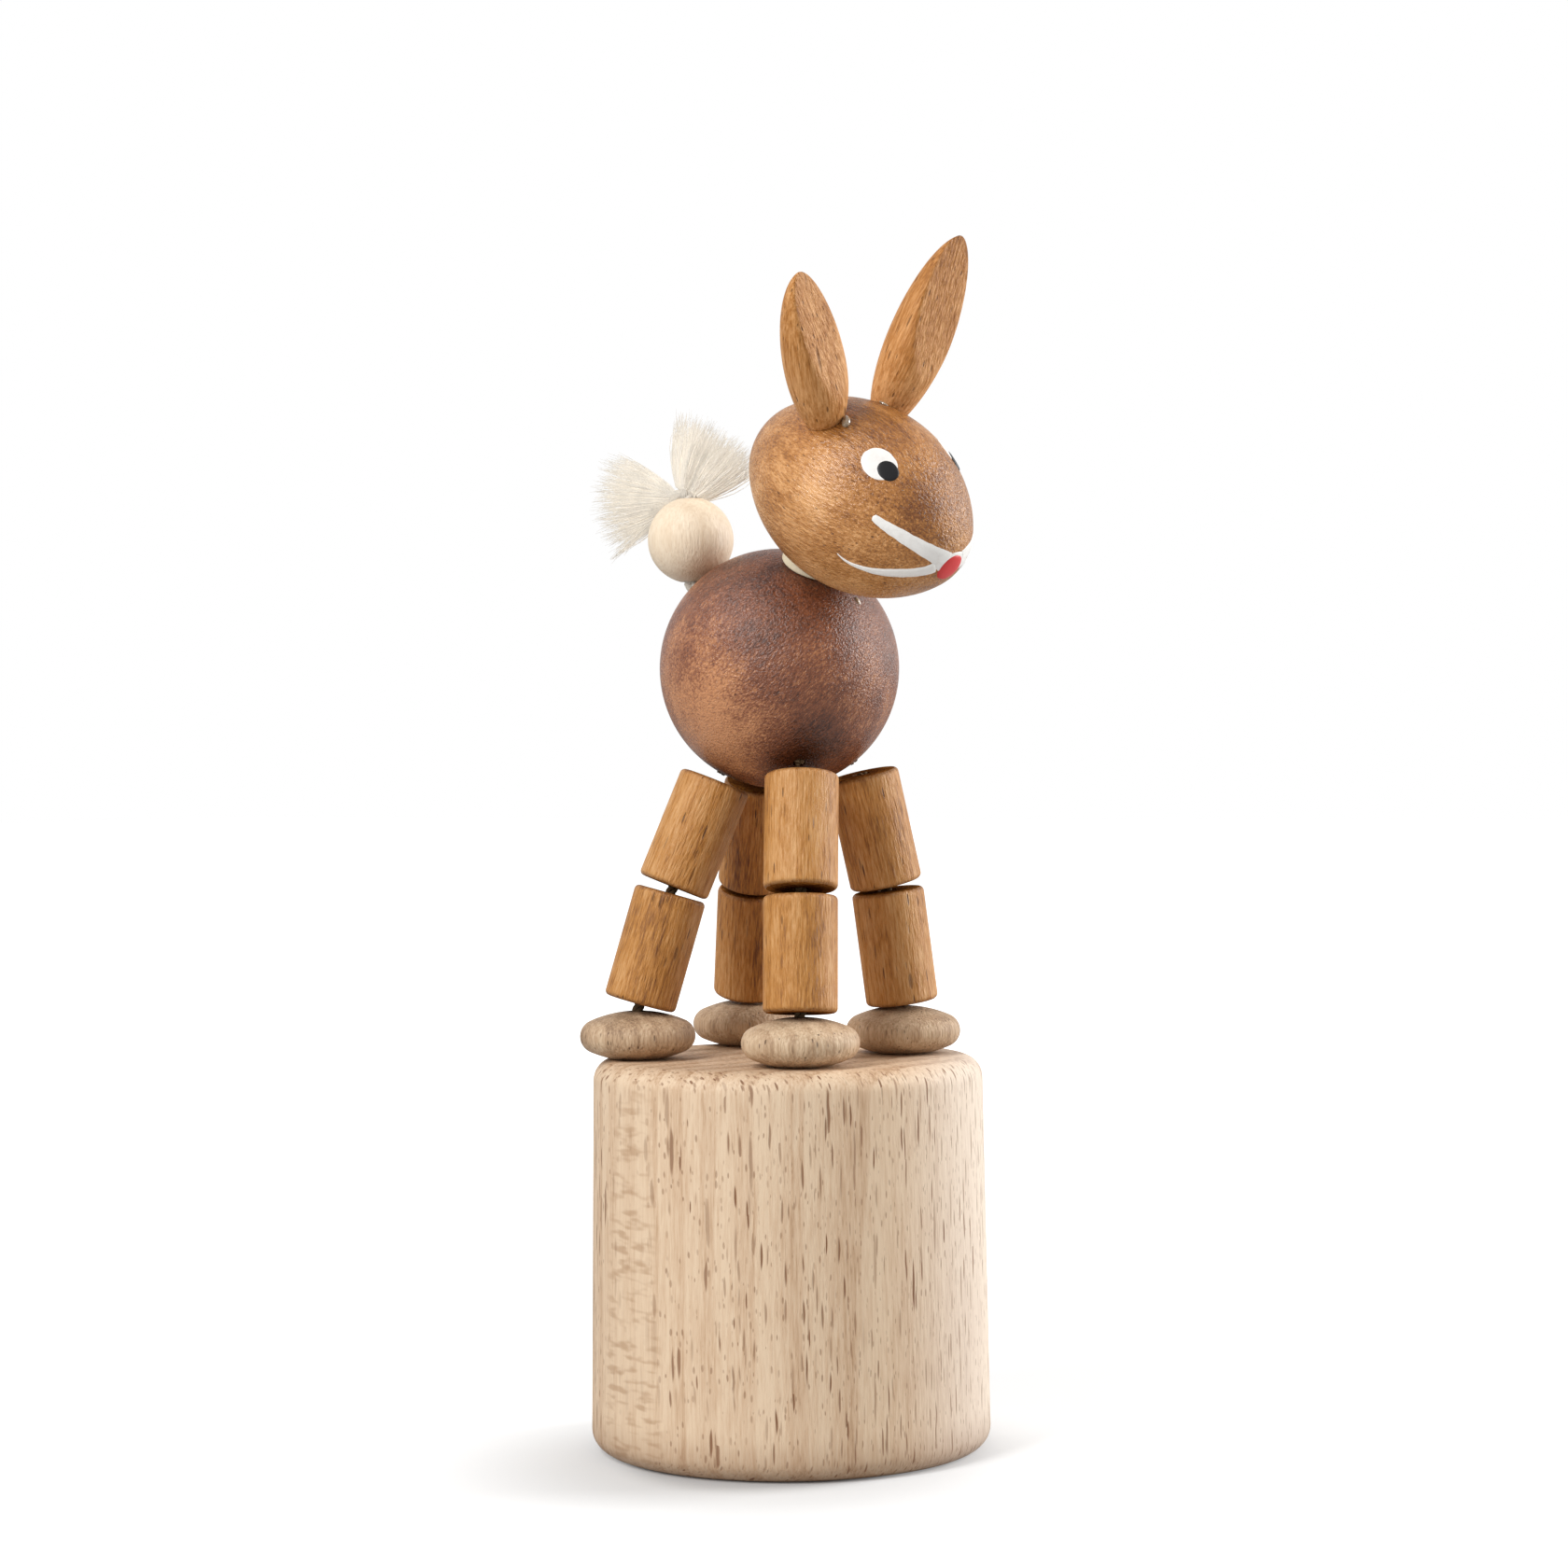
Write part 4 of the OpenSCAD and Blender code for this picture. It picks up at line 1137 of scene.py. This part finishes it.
def add_drop(name, at, way, size, body, slot):
    """A set drop of glue on a surface: its three half widths in mm, the last one out of the surface."""
    bm = bmesh.new()
    bmesh.ops.create_icosphere(bm, subdivisions=3, radius=1.0)
    for v in bm.verts:
        v.co *= 1 + 0.12 * noise.noise(v.co * 1.7)
        v.co = Vector(c * s for c, s in zip(v.co, size)) * MM
    made = piece(name, bm, finish_of("glue"), facing(at, way))
    stands_for(made, body, slot)


def egg_blank(body, grow=0.0):
    """The head's egg about its own axis, the nose along Z."""
    reach, r = body.head_length / 2 + grow, body.head / 2 + grow
    crown = [(x, -z) for x, z in reversed(half_egg(reach, r, body.crown + grow))]
    return turned(crown + half_egg(reach, r, body.nose + grow)[1:], 144)


# Stain and painted light of the head in mm: darker over the muzzle; darker round the ears as painted shade
# over the less lit top; lighter on the cheeks as a painted sheen, and on the chin as painted light in the
# shade under it
HEAD_STAIN_AND_LIGHT = (
    ((4.4, 3.0, 9.4), 6.0, 0.3),
    ((8.0, 2.0, -3.0), 8.0, 0.3),
    ((6.5, 5.5, 3.5), 6.0, 0.12),
    ((0.8, 8.6, -0.5), 7.0, -0.34),
    ((-7.5, 4.0, 4.0), 8.5, -0.42),
)
# Glue at the ears: place in the head and half widths, in mm
EAR_DROPS = {
    "near": ((7.75, 4.25, -1.1), (0.75, 0.4, 0.35)),
    "far": ((8.45, -1.9, -2.2), (0.5, 0.2, 0.15)),
}
# Ear outline: length of the root's curve as a share of the ear, and the powers of its two curves
EAR_ROOT_SPAN, EAR_ROOT_POWER, EAR_TIP_POWER = 0.52, 0.54, 0.53
# Softness of the edge of each ear's flat, and the room under an ear's root
EAR_SOFT = {"right": 0.3 * MM, "left": 0.07 * MM}
EAR_SEAT = 0.04 * MM
# Tone of each ear at its root, and its rise per mm
EAR_TONES, EAR_TONE_RISE = {"right": -0.2, "left": -0.18}, 0.02


class PUPPET_OT_head(PieceOperator):
    """Build the head and its ears"""

    bl_idname = "puppet.head"
    bl_label = "Head and ears"

    def execute(self, context):
        scene = context.scene
        body, a = scene.puppet_body, animal(scene)
        seat = Vector((-body.head / 2 - OVERCUT, 0, -body.neck_back))
        across, depth = Vector((1, 0, 0)), body.head / 2 + OVERCUT - a.head_flat
        bm = drilled(egg_blank(body), (seat, across, depth, 2 * a.flat_r))
        bm = drilled(bm, (seat, across, depth + body.socket, scene.puppet_legs.hole))
        made = piece("head_turned", bm, finish_of("head"), a.head_place, 81, self.stain_and_painted_light)
        stands_for(made, "head", "head_wood", "head")
        for number, name in enumerate(SIDES):
            place = a.head_place @ self.ear_place(body, name)
            made = piece("ear_carved_" + name, self.ear(body, name), finish_of("ear"), place, 83 + number,
                         self.ear_tone(name))
            stands_for(made, "head", "head_wood", "ear_" + name)
        for name, (spot, size) in EAR_DROPS.items():
            at = Vector(spot) * MM
            way = a.head_place.to_3x3() @ Vector((at.x, at.y, 0)).normalized()
            add_drop(f"glue_drop_{name}_ear", a.head_place @ at, way, size, "head", "head_wood")
        return {"FINISHED"}

    # Stained tone of the head: painted shade round the ears, painted light on the cheeks and the chin, and a
    # drift of tone
    def stain_and_painted_light(self, at):
        return spots(Vector((at.x, abs(at.y), at.z)), HEAD_STAIN_AND_LIGHT) + drift(at, 5.0, 0.14)

    def ear_tone(self, name):
        """Tone of an ear by place, a little darker towards its tip."""
        return lambda at: EAR_TONES[name] + EAR_TONE_RISE * at.z

    def ear_place(self, body, name):
        """The ear's own axes in the head's: X out of its flat face, Z along it."""
        r = egg_radius(body, -body.ear_back) - body.ear_root
        nose, crown, out = Vector((0, 0, 1)), Vector((1, 0, 0)), Vector((0, -SIDES[name], 0))
        at = crown * r * math.cos(body.ear_side) + out * r * math.sin(body.ear_side) - nose * body.ear_back
        w = (crown - nose * math.tan(body.ear_rake) + out * math.tan(body.ear_splay)).normalized()
        face = nose * math.cos(body.ear_face) - out * math.sin(body.ear_face)
        u = (face - w * face.dot(w)).normalized()
        return Matrix.Translation(at) @ Matrix((u, w.cross(u), w)).transposed().to_4x4()

    def ear(self, body, name):
        """A turned spindle with a slanting flat planed off its front, its root cut to the head."""
        whole = getattr(body, "ear_" + name) + body.ear_root
        r, belly = body.ear / 2, body.ear_belly

        def width(s):
            if s < belly:
                return r * (1 - ((belly - s) / EAR_ROOT_SPAN) ** 2) ** EAR_ROOT_POWER
            return r * max(0, 1 - ((s - belly) / (1 - belly)) ** 2) ** EAR_TIP_POWER

        steps = 44
        shares = [(1 - math.cos(math.pi * i / steps)) / 2 for i in range(steps + 1)]
        bm = turned([(0, 0)] + [(width(s), s * whole) for s in shares], 72)
        slant = body.ear_flat_root + body.ear_flat_tip
        out = Vector((whole, 0, slant)).normalized()
        soft = EAR_SOFT[name]
        for v in bm.verts:
            over = out.dot(v.co - Vector((body.ear_flat_root, 0, 0)))
            if over > -8 * soft:
                v.co -= out * (over + soft * math.log1p(math.exp(-over / soft)))
        bmesh.ops.recalc_face_normals(bm, faces=bm.faces)
        egg = egg_blank(body, EAR_SEAT)
        egg.transform(self.ear_place(body, name).inverted())
        return carved(bm, egg)


# Painted face: places as mm along the head's axis and degrees from the crown, then widths in mm
EYE_AT, PUPIL_AT = (4.47, 37.8), (5.45, 37.6)
EYE_OVAL = 0.43
STROKES = {
    "lip": ((6.85, 70.5, 0.62), (8.0, 72.0, 0.9), (9.2, 72.9, 1.12), (10.5, 74.7, 1.3), (11.57, 77.5, 1.5),
            (12.1, 83.4, 1.7), (12.33, 95.5, 1.7)),
    "smile": ((4.94, 107.0, 0.05), (5.69, 110.8, 0.22), (6.61, 113.5, 0.4), (8.13, 116.0, 0.72),
              (9.6, 116.6, 0.98), (10.67, 116.9, 1.05), (11.5, 115.8, 1.1), (12.0, 112.0, 1.2)),
}
# Dabs at the nose: place beside the tip and half widths in mm, coats of paint, way of the first width
NOSE_DABS = {
    "muzzle_patch": ((-0.42, 0.0), (1.15, 2.35), 1.0, (1, 0, 0), "white"),
    "nose": ((-0.93, 0.2), (1.5, 1.35), 2.2, (1, -0.6, 0), "red"),
}
DAB_RINGS = (0.06, 0.08, 0.14, 0.2, 0.2, 0.2)


class PUPPET_OT_face(PieceOperator):
    """Paint the eyes, the mouth and the nose"""

    bl_idname = "puppet.face"
    bl_label = "Painted face"

    def execute(self, context):
        scene = context.scene
        body, a = scene.puppet_body, animal(scene)
        rounds = (("eye", EYE_AT, body.eye, 1.0, "white"), ("pupil", PUPIL_AT, body.pupil, 1.8, "black"))
        for name, side in SIDES.items():
            for part, (far, turn), size, coats, key in rounds:
                at = self.skin(body, far, -side * turn)
                dab = self.spot(body, at, size / 2, size * EYE_OVAL, body.paint * coats, UP)
                self.add(f"{part}_{name}", dab, key, a)
            for part, line in STROKES.items():
                points = [(self.skin(body, far, -side * turn), width * MM) for far, turn, width in line]
                self.add(f"{part}_{name}", self.stroke(body, points, body.paint), "white", a)
        for part, ((x, y), (half_u, half_v), coats, way, key) in NOSE_DABS.items():
            at = Vector((x * MM, y * MM, body.head_length / 2))
            dab = self.spot(body, at, half_u * MM, half_v * MM, body.paint * coats, Vector(way))
            self.add(part, dab, key, a)
        return {"FINISHED"}

    def add(self, name, bm, key, a):
        bmesh.ops.recalc_face_normals(bm, faces=bm.faces)
        made = piece("paint_" + name, bm, finish_of(key), a.head_place)
        stands_for(made, "head", "head_wood")

    def skin(self, body, along_mm, round_deg):
        """A point of the head's skin, at a distance along its axis and an angle from the crown."""
        r, turn = egg_radius(body, along_mm * MM), math.radians(round_deg)
        return Vector((math.cos(turn) * r, math.sin(turn) * r, along_mm * MM))

    def raised(self, body, at, lift):
        """The point over the skin next to a point on the face's half of the head."""
        reach, r, end = body.head_length / 2, body.head / 2, body.nose
        offset, meet = egg_arcs(reach, r, end)
        out = math.hypot(at.x, at.y)
        if math.atan2(at.z - reach + end, out) > meet:
            centre, radius = (0, reach - end), end
        else:
            centre, radius = (-offset, 0), r + offset
        way = Vector((out - centre[0], at.z - centre[1])).normalized() * (radius + lift)
        widen = (centre[0] + way.x) / max(out, 1e-9)
        return Vector((at.x * widen, at.y * widen, centre[1] + way.y))

    def spot(self, body, at, half_u, half_v, paint, way):
        """A dab of paint: an oval laid on the skin, its first half width along a way."""
        at = self.raised(body, at, 0)
        normal = (self.raised(body, at, 0.1 * MM) - at).normalized()
        u = (way - normal * normal.dot(way)).normalized()
        v = normal.cross(u)
        bm = bmesh.new()
        bmesh.ops.create_circle(bm, cap_ends=True, segments=48, radius=1.0)
        for ring in DAB_RINGS:
            bmesh.ops.inset_region(bm, faces=[max(bm.faces, key=lambda f: len(f.verts))], thickness=ring,
                                   use_even_offset=True, use_boundary=True)
        places, thick = {}, {}
        for p in bm.verts:
            wobble = 1 + 0.035 * noise.noise(Vector((p.co.x, p.co.y, at.x / MM)) * 2.2)
            places[p] = at + (u * p.co.x * half_u + v * p.co.y * half_v) * wobble
            thick[p] = paint * math.sqrt(max(0.0, 1 - min(1, p.co.length) ** 6))
        self.lay(bm, body, places, thick)
        return bm

    def lay(self, bm, body, places, thick):
        """Drops a flat shape onto the skin and gives it a sunk underside."""
        for v, at in places.items():
            v.co = self.raised(body, at, thick[v])
        geom = bm.faces[:] + bm.edges[:] + bm.verts[:]
        low = bmesh.ops.extrude_face_region(bm, geom=geom, use_keep_orig=True)
        for v in low["geom"]:
            if isinstance(v, bmesh.types.BMVert):
                v.co = self.raised(body, v.co, -PAINT_SUNK)

    def stroke(self, body, line, paint):
        """A brush stroke through points on the skin, each with its width."""
        bm = bmesh.new()
        bmesh.ops.create_grid(bm, x_segments=40, y_segments=6, size=1.0)

        def at(t):
            t = max(0.0, min(0.9999, t)) * (len(line) - 1)
            i = int(t)
            a, b, c, d = (line[max(0, min(len(line) - 1, k))] for k in (i - 1, i, i + 1, i + 2))
            f = t - i
            return [0.5 * (2 * b[k] + (c[k] - a[k]) * f + (2 * a[k] - 5 * b[k] + 4 * c[k] - d[k]) * f ** 2
                           + (3 * b[k] - a[k] - 3 * c[k] + d[k]) * f ** 3) for k in (0, 1)]

        places, thick = {}, {}
        for v in bm.verts:
            t = v.co.x / 2 + 0.5
            centre, width = at(t)
            way = (at(t + 0.01)[0] - at(t - 0.01)[0]).normalized()
            normal = (self.raised(body, centre, 0.1 * MM) - self.raised(body, centre, 0)).normalized()
            end = math.sqrt(max(0.02, 1 - max(0, (abs(v.co.x) - 0.93) / 0.07) ** 2))
            rough = 1 + 0.09 * noise.noise(Vector((v.co.x * 9, v.co.y, centre.x / MM)))
            places[v] = centre + way.cross(normal) * v.co.y * width / 2 * end * rough
            thick[v] = paint * math.sqrt(max(0.0, 1 - abs(v.co.y) ** 6)) * end
        self.lay(bm, body, places, thick)
        return bm


# Grey places of the bead in mm: round its upper hole, and under it as painted shade where it sits against the
# ball
BEAD_GREY_AND_SHADE = (((0, 0, 4.0), 1.9, 0.7), ((1.5, -0.5, -3.6), 3.2, 0.5))
# Ends of the twisted yarn over the bead and off the ball, in mm
YARN_OVER, YARN_OFF = 0.3, 0.45
# Strands: the seed of their draws, their steps, and their lengths as shares of the bunch's
STRAND_SEED, STRAND_STEPS, STRAND_LENGTHS = 7, 6, (0.84, 1.05)
# Strands in mm: their curl, their scatter in the bead's hole, the height of their start, their lean over it
STRAND_CURL, STRAND_SCATTER, STRAND_DEPTH, STRAND_LEAN = 0.3, 0.25, -1.2, 0.45
# Bunches of the tuft: root beside the bead's crown in mm, way, way of the spread, length and share of it,
# share of the spread, share of the root's width, and one in how many strands
BUNCHES = (
    ((-1.9, -0.1, -0.1), (-0.99, 0.1, 0.06), (0, 0, 1), "back", 0.86, 1.0, 1.2, 1),
    ((-0.2, 0.0, 0.3), (0.33, 0.42, 0.82), (-0.69, -0.49, 0.53), "top", 1.06, 1.12, 2.2, 1),
    ((-1.6, -0.1, -0.4), (-0.86, 0.05, -0.52), (0, 0, 1), "back", 0.93, 0.1, 1.0, 16),
)


class PUPPET_OT_tail(PieceOperator):
    """Build the tail's bead, yarn and frayed tuft"""

    bl_idname = "puppet.tail"
    bl_label = "Tail"

    def execute(self, context):
        scene = context.scene
        tail, a = scene.puppet_tail, animal(scene)
        r, hole = tail.bead / 2, tail.hole / 2
        turn = math.acos(hole / r)
        outline = arc((0, 0), r, turn, -turn, 48)
        bm = turned(outline + [outline[0]], 80)
        made = piece("bead_turned", bm, finish_of("bead"), Matrix.Translation(a.bead), 91,
                     lambda at: spots(at, BEAD_GREY_AND_SHADE))
        stands_for(made, "tail", "bead_wood", "tail_bead")
        path = [a.bead_crown + UP * YARN_OVER * MM, a.bead_foot, a.tail_root + a.tail_way * YARN_OFF * MM]
        made = threads("yarn_twisted", twisted(path, tail.yarn, YARN_PITCH), tail.yarn * PLY_SHARE,
                       finish_of("yarn"), 8)
        stands_for(made, "tail", "tail_yarn", "tail_yarn")
        made = threads("tuft_frayed", self.strands(tail, a), tail.strand, finish_of("tuft"), 4,
                       lambda t: 1.0 - 0.8 * t ** 3)
        # The tuft casts no shadow; its darker colour and the shade between its fibres stand in as painted
        # shade
        made.visible_shadow = False
        stands_for(made, "tail", "tail_yarn", "tail_tuft", slack=2.5)
        return {"FINISHED"}

    def strands(self, tail, a):
        """Lines of the frayed strands: out of the bead, then into one of two bunches or a stray wisp."""
        draw = random.Random(STRAND_SEED)
        for root, way, spread, kind, part, share_wide, full_root, one_in in BUNCHES:
            at = a.bead_crown + Vector(root) * MM
            over = a.bead_crown + Vector((root[0] * 0.35, root[1] * 0.35, 0.35)) * MM
            reach = getattr(tail, kind) * part
            w = Vector(way).normalized()
            u = (Vector(spread) - w * w.dot(Vector(spread))).normalized()
            v = w.cross(u)
            thick = tail.root * full_root
            for _ in range(tail.strands // one_in):
                turn, far = draw.uniform(0, math.tau), math.sqrt(draw.uniform(0, 1))
                p, q = math.cos(turn) * far, math.sin(turn) * far
                full = reach * draw.uniform(*STRAND_LENGTHS) * (1.0 - 0.07 * far ** 2)
                curl = Vector((draw.gauss(0, 1), draw.gauss(0, 1), draw.gauss(0, 1))) * STRAND_CURL * MM
                aside = draw.gauss(0, STRAND_SCATTER), draw.gauss(0, STRAND_SCATTER)
                start = a.bead_crown + Vector((*aside, STRAND_DEPTH)) * MM
                line = [start, over + (u * p + v * q) * STRAND_LEAN * full_root * MM]
                for i in range(STRAND_STEPS + 1):
                    s = i / STRAND_STEPS
                    f = s ** 0.8
                    wide = (thick + (tail.spread * share_wide - thick) * f) / 2
                    deep = (tail.root + (tail.depth * share_wide - tail.root) * f) / 2
                    line.append(at + w * full * s + u * wide * p + v * deep * q
                                + curl * math.sin(s * math.pi * 1.2) * s)
                yield line


class PUPPET_OT_cords(PieceOperator):
    """Build the cords that string the legs, the ball and the head"""

    bl_idname = "puppet.cords"
    bl_label = "Cords"

    def execute(self, context):
        scene = context.scene
        drum, legs, body, a = scene.puppet_drum, scene.puppet_legs, scene.puppet_body, animal(scene)
        ceiling = drum.height - drum.ceiling
        knot_top = drum.button_base + drum.knot + KNOT_ROOM
        button_top = drum.button_base + drum.button_depth
        drum_lines, button_lines, stub_lines, knots = [], [], [], []

        def socket(way, radius):
            return [a.ball + way * (radius - body.socket + END_GAP), a.ball + way * radius]

        for name in LEGS:
            line = leg_line(scene, name)
            anchor = Vector((line.foot.x, line.foot.y, 0)).normalized() * drum.anchor
            hole = Vector((line.foot.x, line.foot.y, ceiling))
            path = [anchor + UP * (knot_top + END_GAP), anchor + UP * button_top,
                    hole - UP * legs.cord, hole - UP * END_GAP]
            for ply in twisted(path, legs.cord):
                button_lines.append([at for at in ply if at.z <= button_top])
                drum_lines.append([at for at in ply if at.z >= button_top - END_GAP])
            knots.append(self.knot(anchor + UP * (knot_top - (drum.knot + END_GAP) / 2), drum.knot))
            self.bridge(f"ankle_cord_{name}", [hole, line.foot_top, line.shin_end, line.shin_middle],
                        legs.cord, ("base", f"shin_{name}"), ("foot_cords", f"shin_cord_{name}"))
            self.bridge(f"knee_cord_{name}",
                        [line.shin_middle, line.shin_top, line.thigh_end, line.thigh_middle],
                        legs.cord, (f"shin_{name}", f"thigh_{name}"),
                        (f"shin_cord_{name}", f"thigh_cord_{name}"))
            self.laid(f"hip_cord_{name}", twisted([line.thigh_middle, line.thigh_top], legs.cord), legs.cord,
                      f"thigh_{name}", f"thigh_cord_{name}")
            way = (line.thigh_top - a.ball).normalized()
            stub_lines += twisted(socket(way, a.ball_r), legs.cord)
        made = self.laid("drum_cords_twisted", drum_lines, legs.cord, "base", "drum_cords")
        shortens(made, drum)
        self.laid("button_cords_twisted", button_lines, legs.cord, "button", "drum_cords")
        made = threads("cord_knots_tied", knots, drum.knot * 0.3, finish_of("cord"), 8)
        stands_for(made, "button", "cord", "cord_knots", slack=1)
        stub_lines += twisted(socket(a.neck_way, a.ball_flat), legs.cord)
        self.laid("socket_cords", stub_lines, legs.cord, "body", "body_cords")
        yarn = scene.puppet_tail.yarn
        self.laid("socket_yarn", twisted(socket(a.tail_way, a.ball_r), yarn), yarn, "body", "body_cords",
                  key="yarn")
        reach = body.neck_depth + body.neck_gap + body.socket - END_GAP
        self.laid("neck_cord", twisted([a.neck, a.neck + a.neck_way * reach], legs.cord), legs.cord,
                  "head", "head_cord", slack=FIT)
        return {"FINISHED"}

    def laid(self, name, lines, width, body, *nodes, key="cord", slack=0):
        """A cord of a width from the lines of its plies."""
        made = threads(name, lines, width * PLY_SHARE, finish_of(key))
        return stands_for(made, body, "cord", *nodes, slack=slack)

    def bridge(self, name, path, width, bodies, nodes):
        """A cord from one body to the next along its path, baked where it lies."""
        made = self.laid(name, twisted(path, width), width, None, *nodes)
        tuple(path[1])
        tuple(path[2])
        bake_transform(made)

    def knot(self, at, width):
        """A closed trefoil: the thread of an overhand knot."""
        points = []
        steps = 72
        for i in range(steps + 1):
            t = math.tau * i / steps
            points.append(at + Vector((math.sin(t) + 2 * math.sin(2 * t), math.cos(t) - 2 * math.cos(2 * t),
                                       -1.6 * math.sin(3 * t))) * width * 0.35 / 3)
        return points


class PUPPET_OT_spring(PieceOperator):
    """Build the spring under the drum's ceiling"""

    bl_idname = "puppet.spring"
    bl_label = "Spring"

    def execute(self, context):
        d = context.scene.puppet_drum
        ceiling, low = d.height - d.ceiling, d.button_base + d.button_depth
        gap, steps = 0.05 * MM, 40
        start, rise = low + d.wire / 2 + gap, ceiling - low - d.wire - 2 * gap
        line = []
        for i in range(steps * d.curls + 1):
            turn = math.tau * i / steps
            line.append(Vector((d.spring / 2 * math.cos(turn), d.spring / 2 * math.sin(turn),
                                start + rise * i / (steps * d.curls))))
        made = threads("spring_wound", [line], d.wire, finish_of("steel"), 10)
        stands_for(made, "base", "spring_wire", "spring")
        shortens(made, d)
        return {"FINISHED"}


OPERATORS = (
    PUPPET_OT_stage, PUPPET_OT_cords, PUPPET_OT_spring, PUPPET_OT_drum, PUPPET_OT_feet, PUPPET_OT_legs,
    PUPPET_OT_ball, PUPPET_OT_head, PUPPET_OT_face, PUPPET_OT_tail)


class PUPPET_PT_pieces(bpy.types.Panel):
    """Lists the puppet's pieces and their sizes"""

    bl_label = "Push puppet"
    bl_idname = "PUPPET_PT_pieces"
    bl_space_type = "VIEW_3D"
    bl_region_type = "UI"
    bl_category = "Puppet"

    def draw(self, context):
        for operator in OPERATORS:
            self.layout.operator(operator.bl_idname)
        for key, group in GROUPS.items():
            box = self.layout.box()
            settings = getattr(context.scene, key)
            for name in group.__annotations__:
                box.prop(settings, name)


def register():
    for group in GROUPS.values():
        bpy.utils.register_class(group)
    for key, group in GROUPS.items():
        setattr(bpy.types.Scene, key, bpy.props.PointerProperty(type=group))
    for operator in OPERATORS:
        bpy.utils.register_class(operator)
    bpy.utils.register_class(PUPPET_PT_pieces)


def unregister():
    bpy.utils.unregister_class(PUPPET_PT_pieces)
    for operator in reversed(OPERATORS):
        bpy.utils.unregister_class(operator)
    for key, group in GROUPS.items():
        delattr(bpy.types.Scene, key)
        bpy.utils.unregister_class(group)


def main():
    register()
    for operator in OPERATORS:
        group, name = operator.bl_idname.split(".")
        getattr(getattr(bpy.ops, group), name)()


if __name__ == "__main__":
    main()
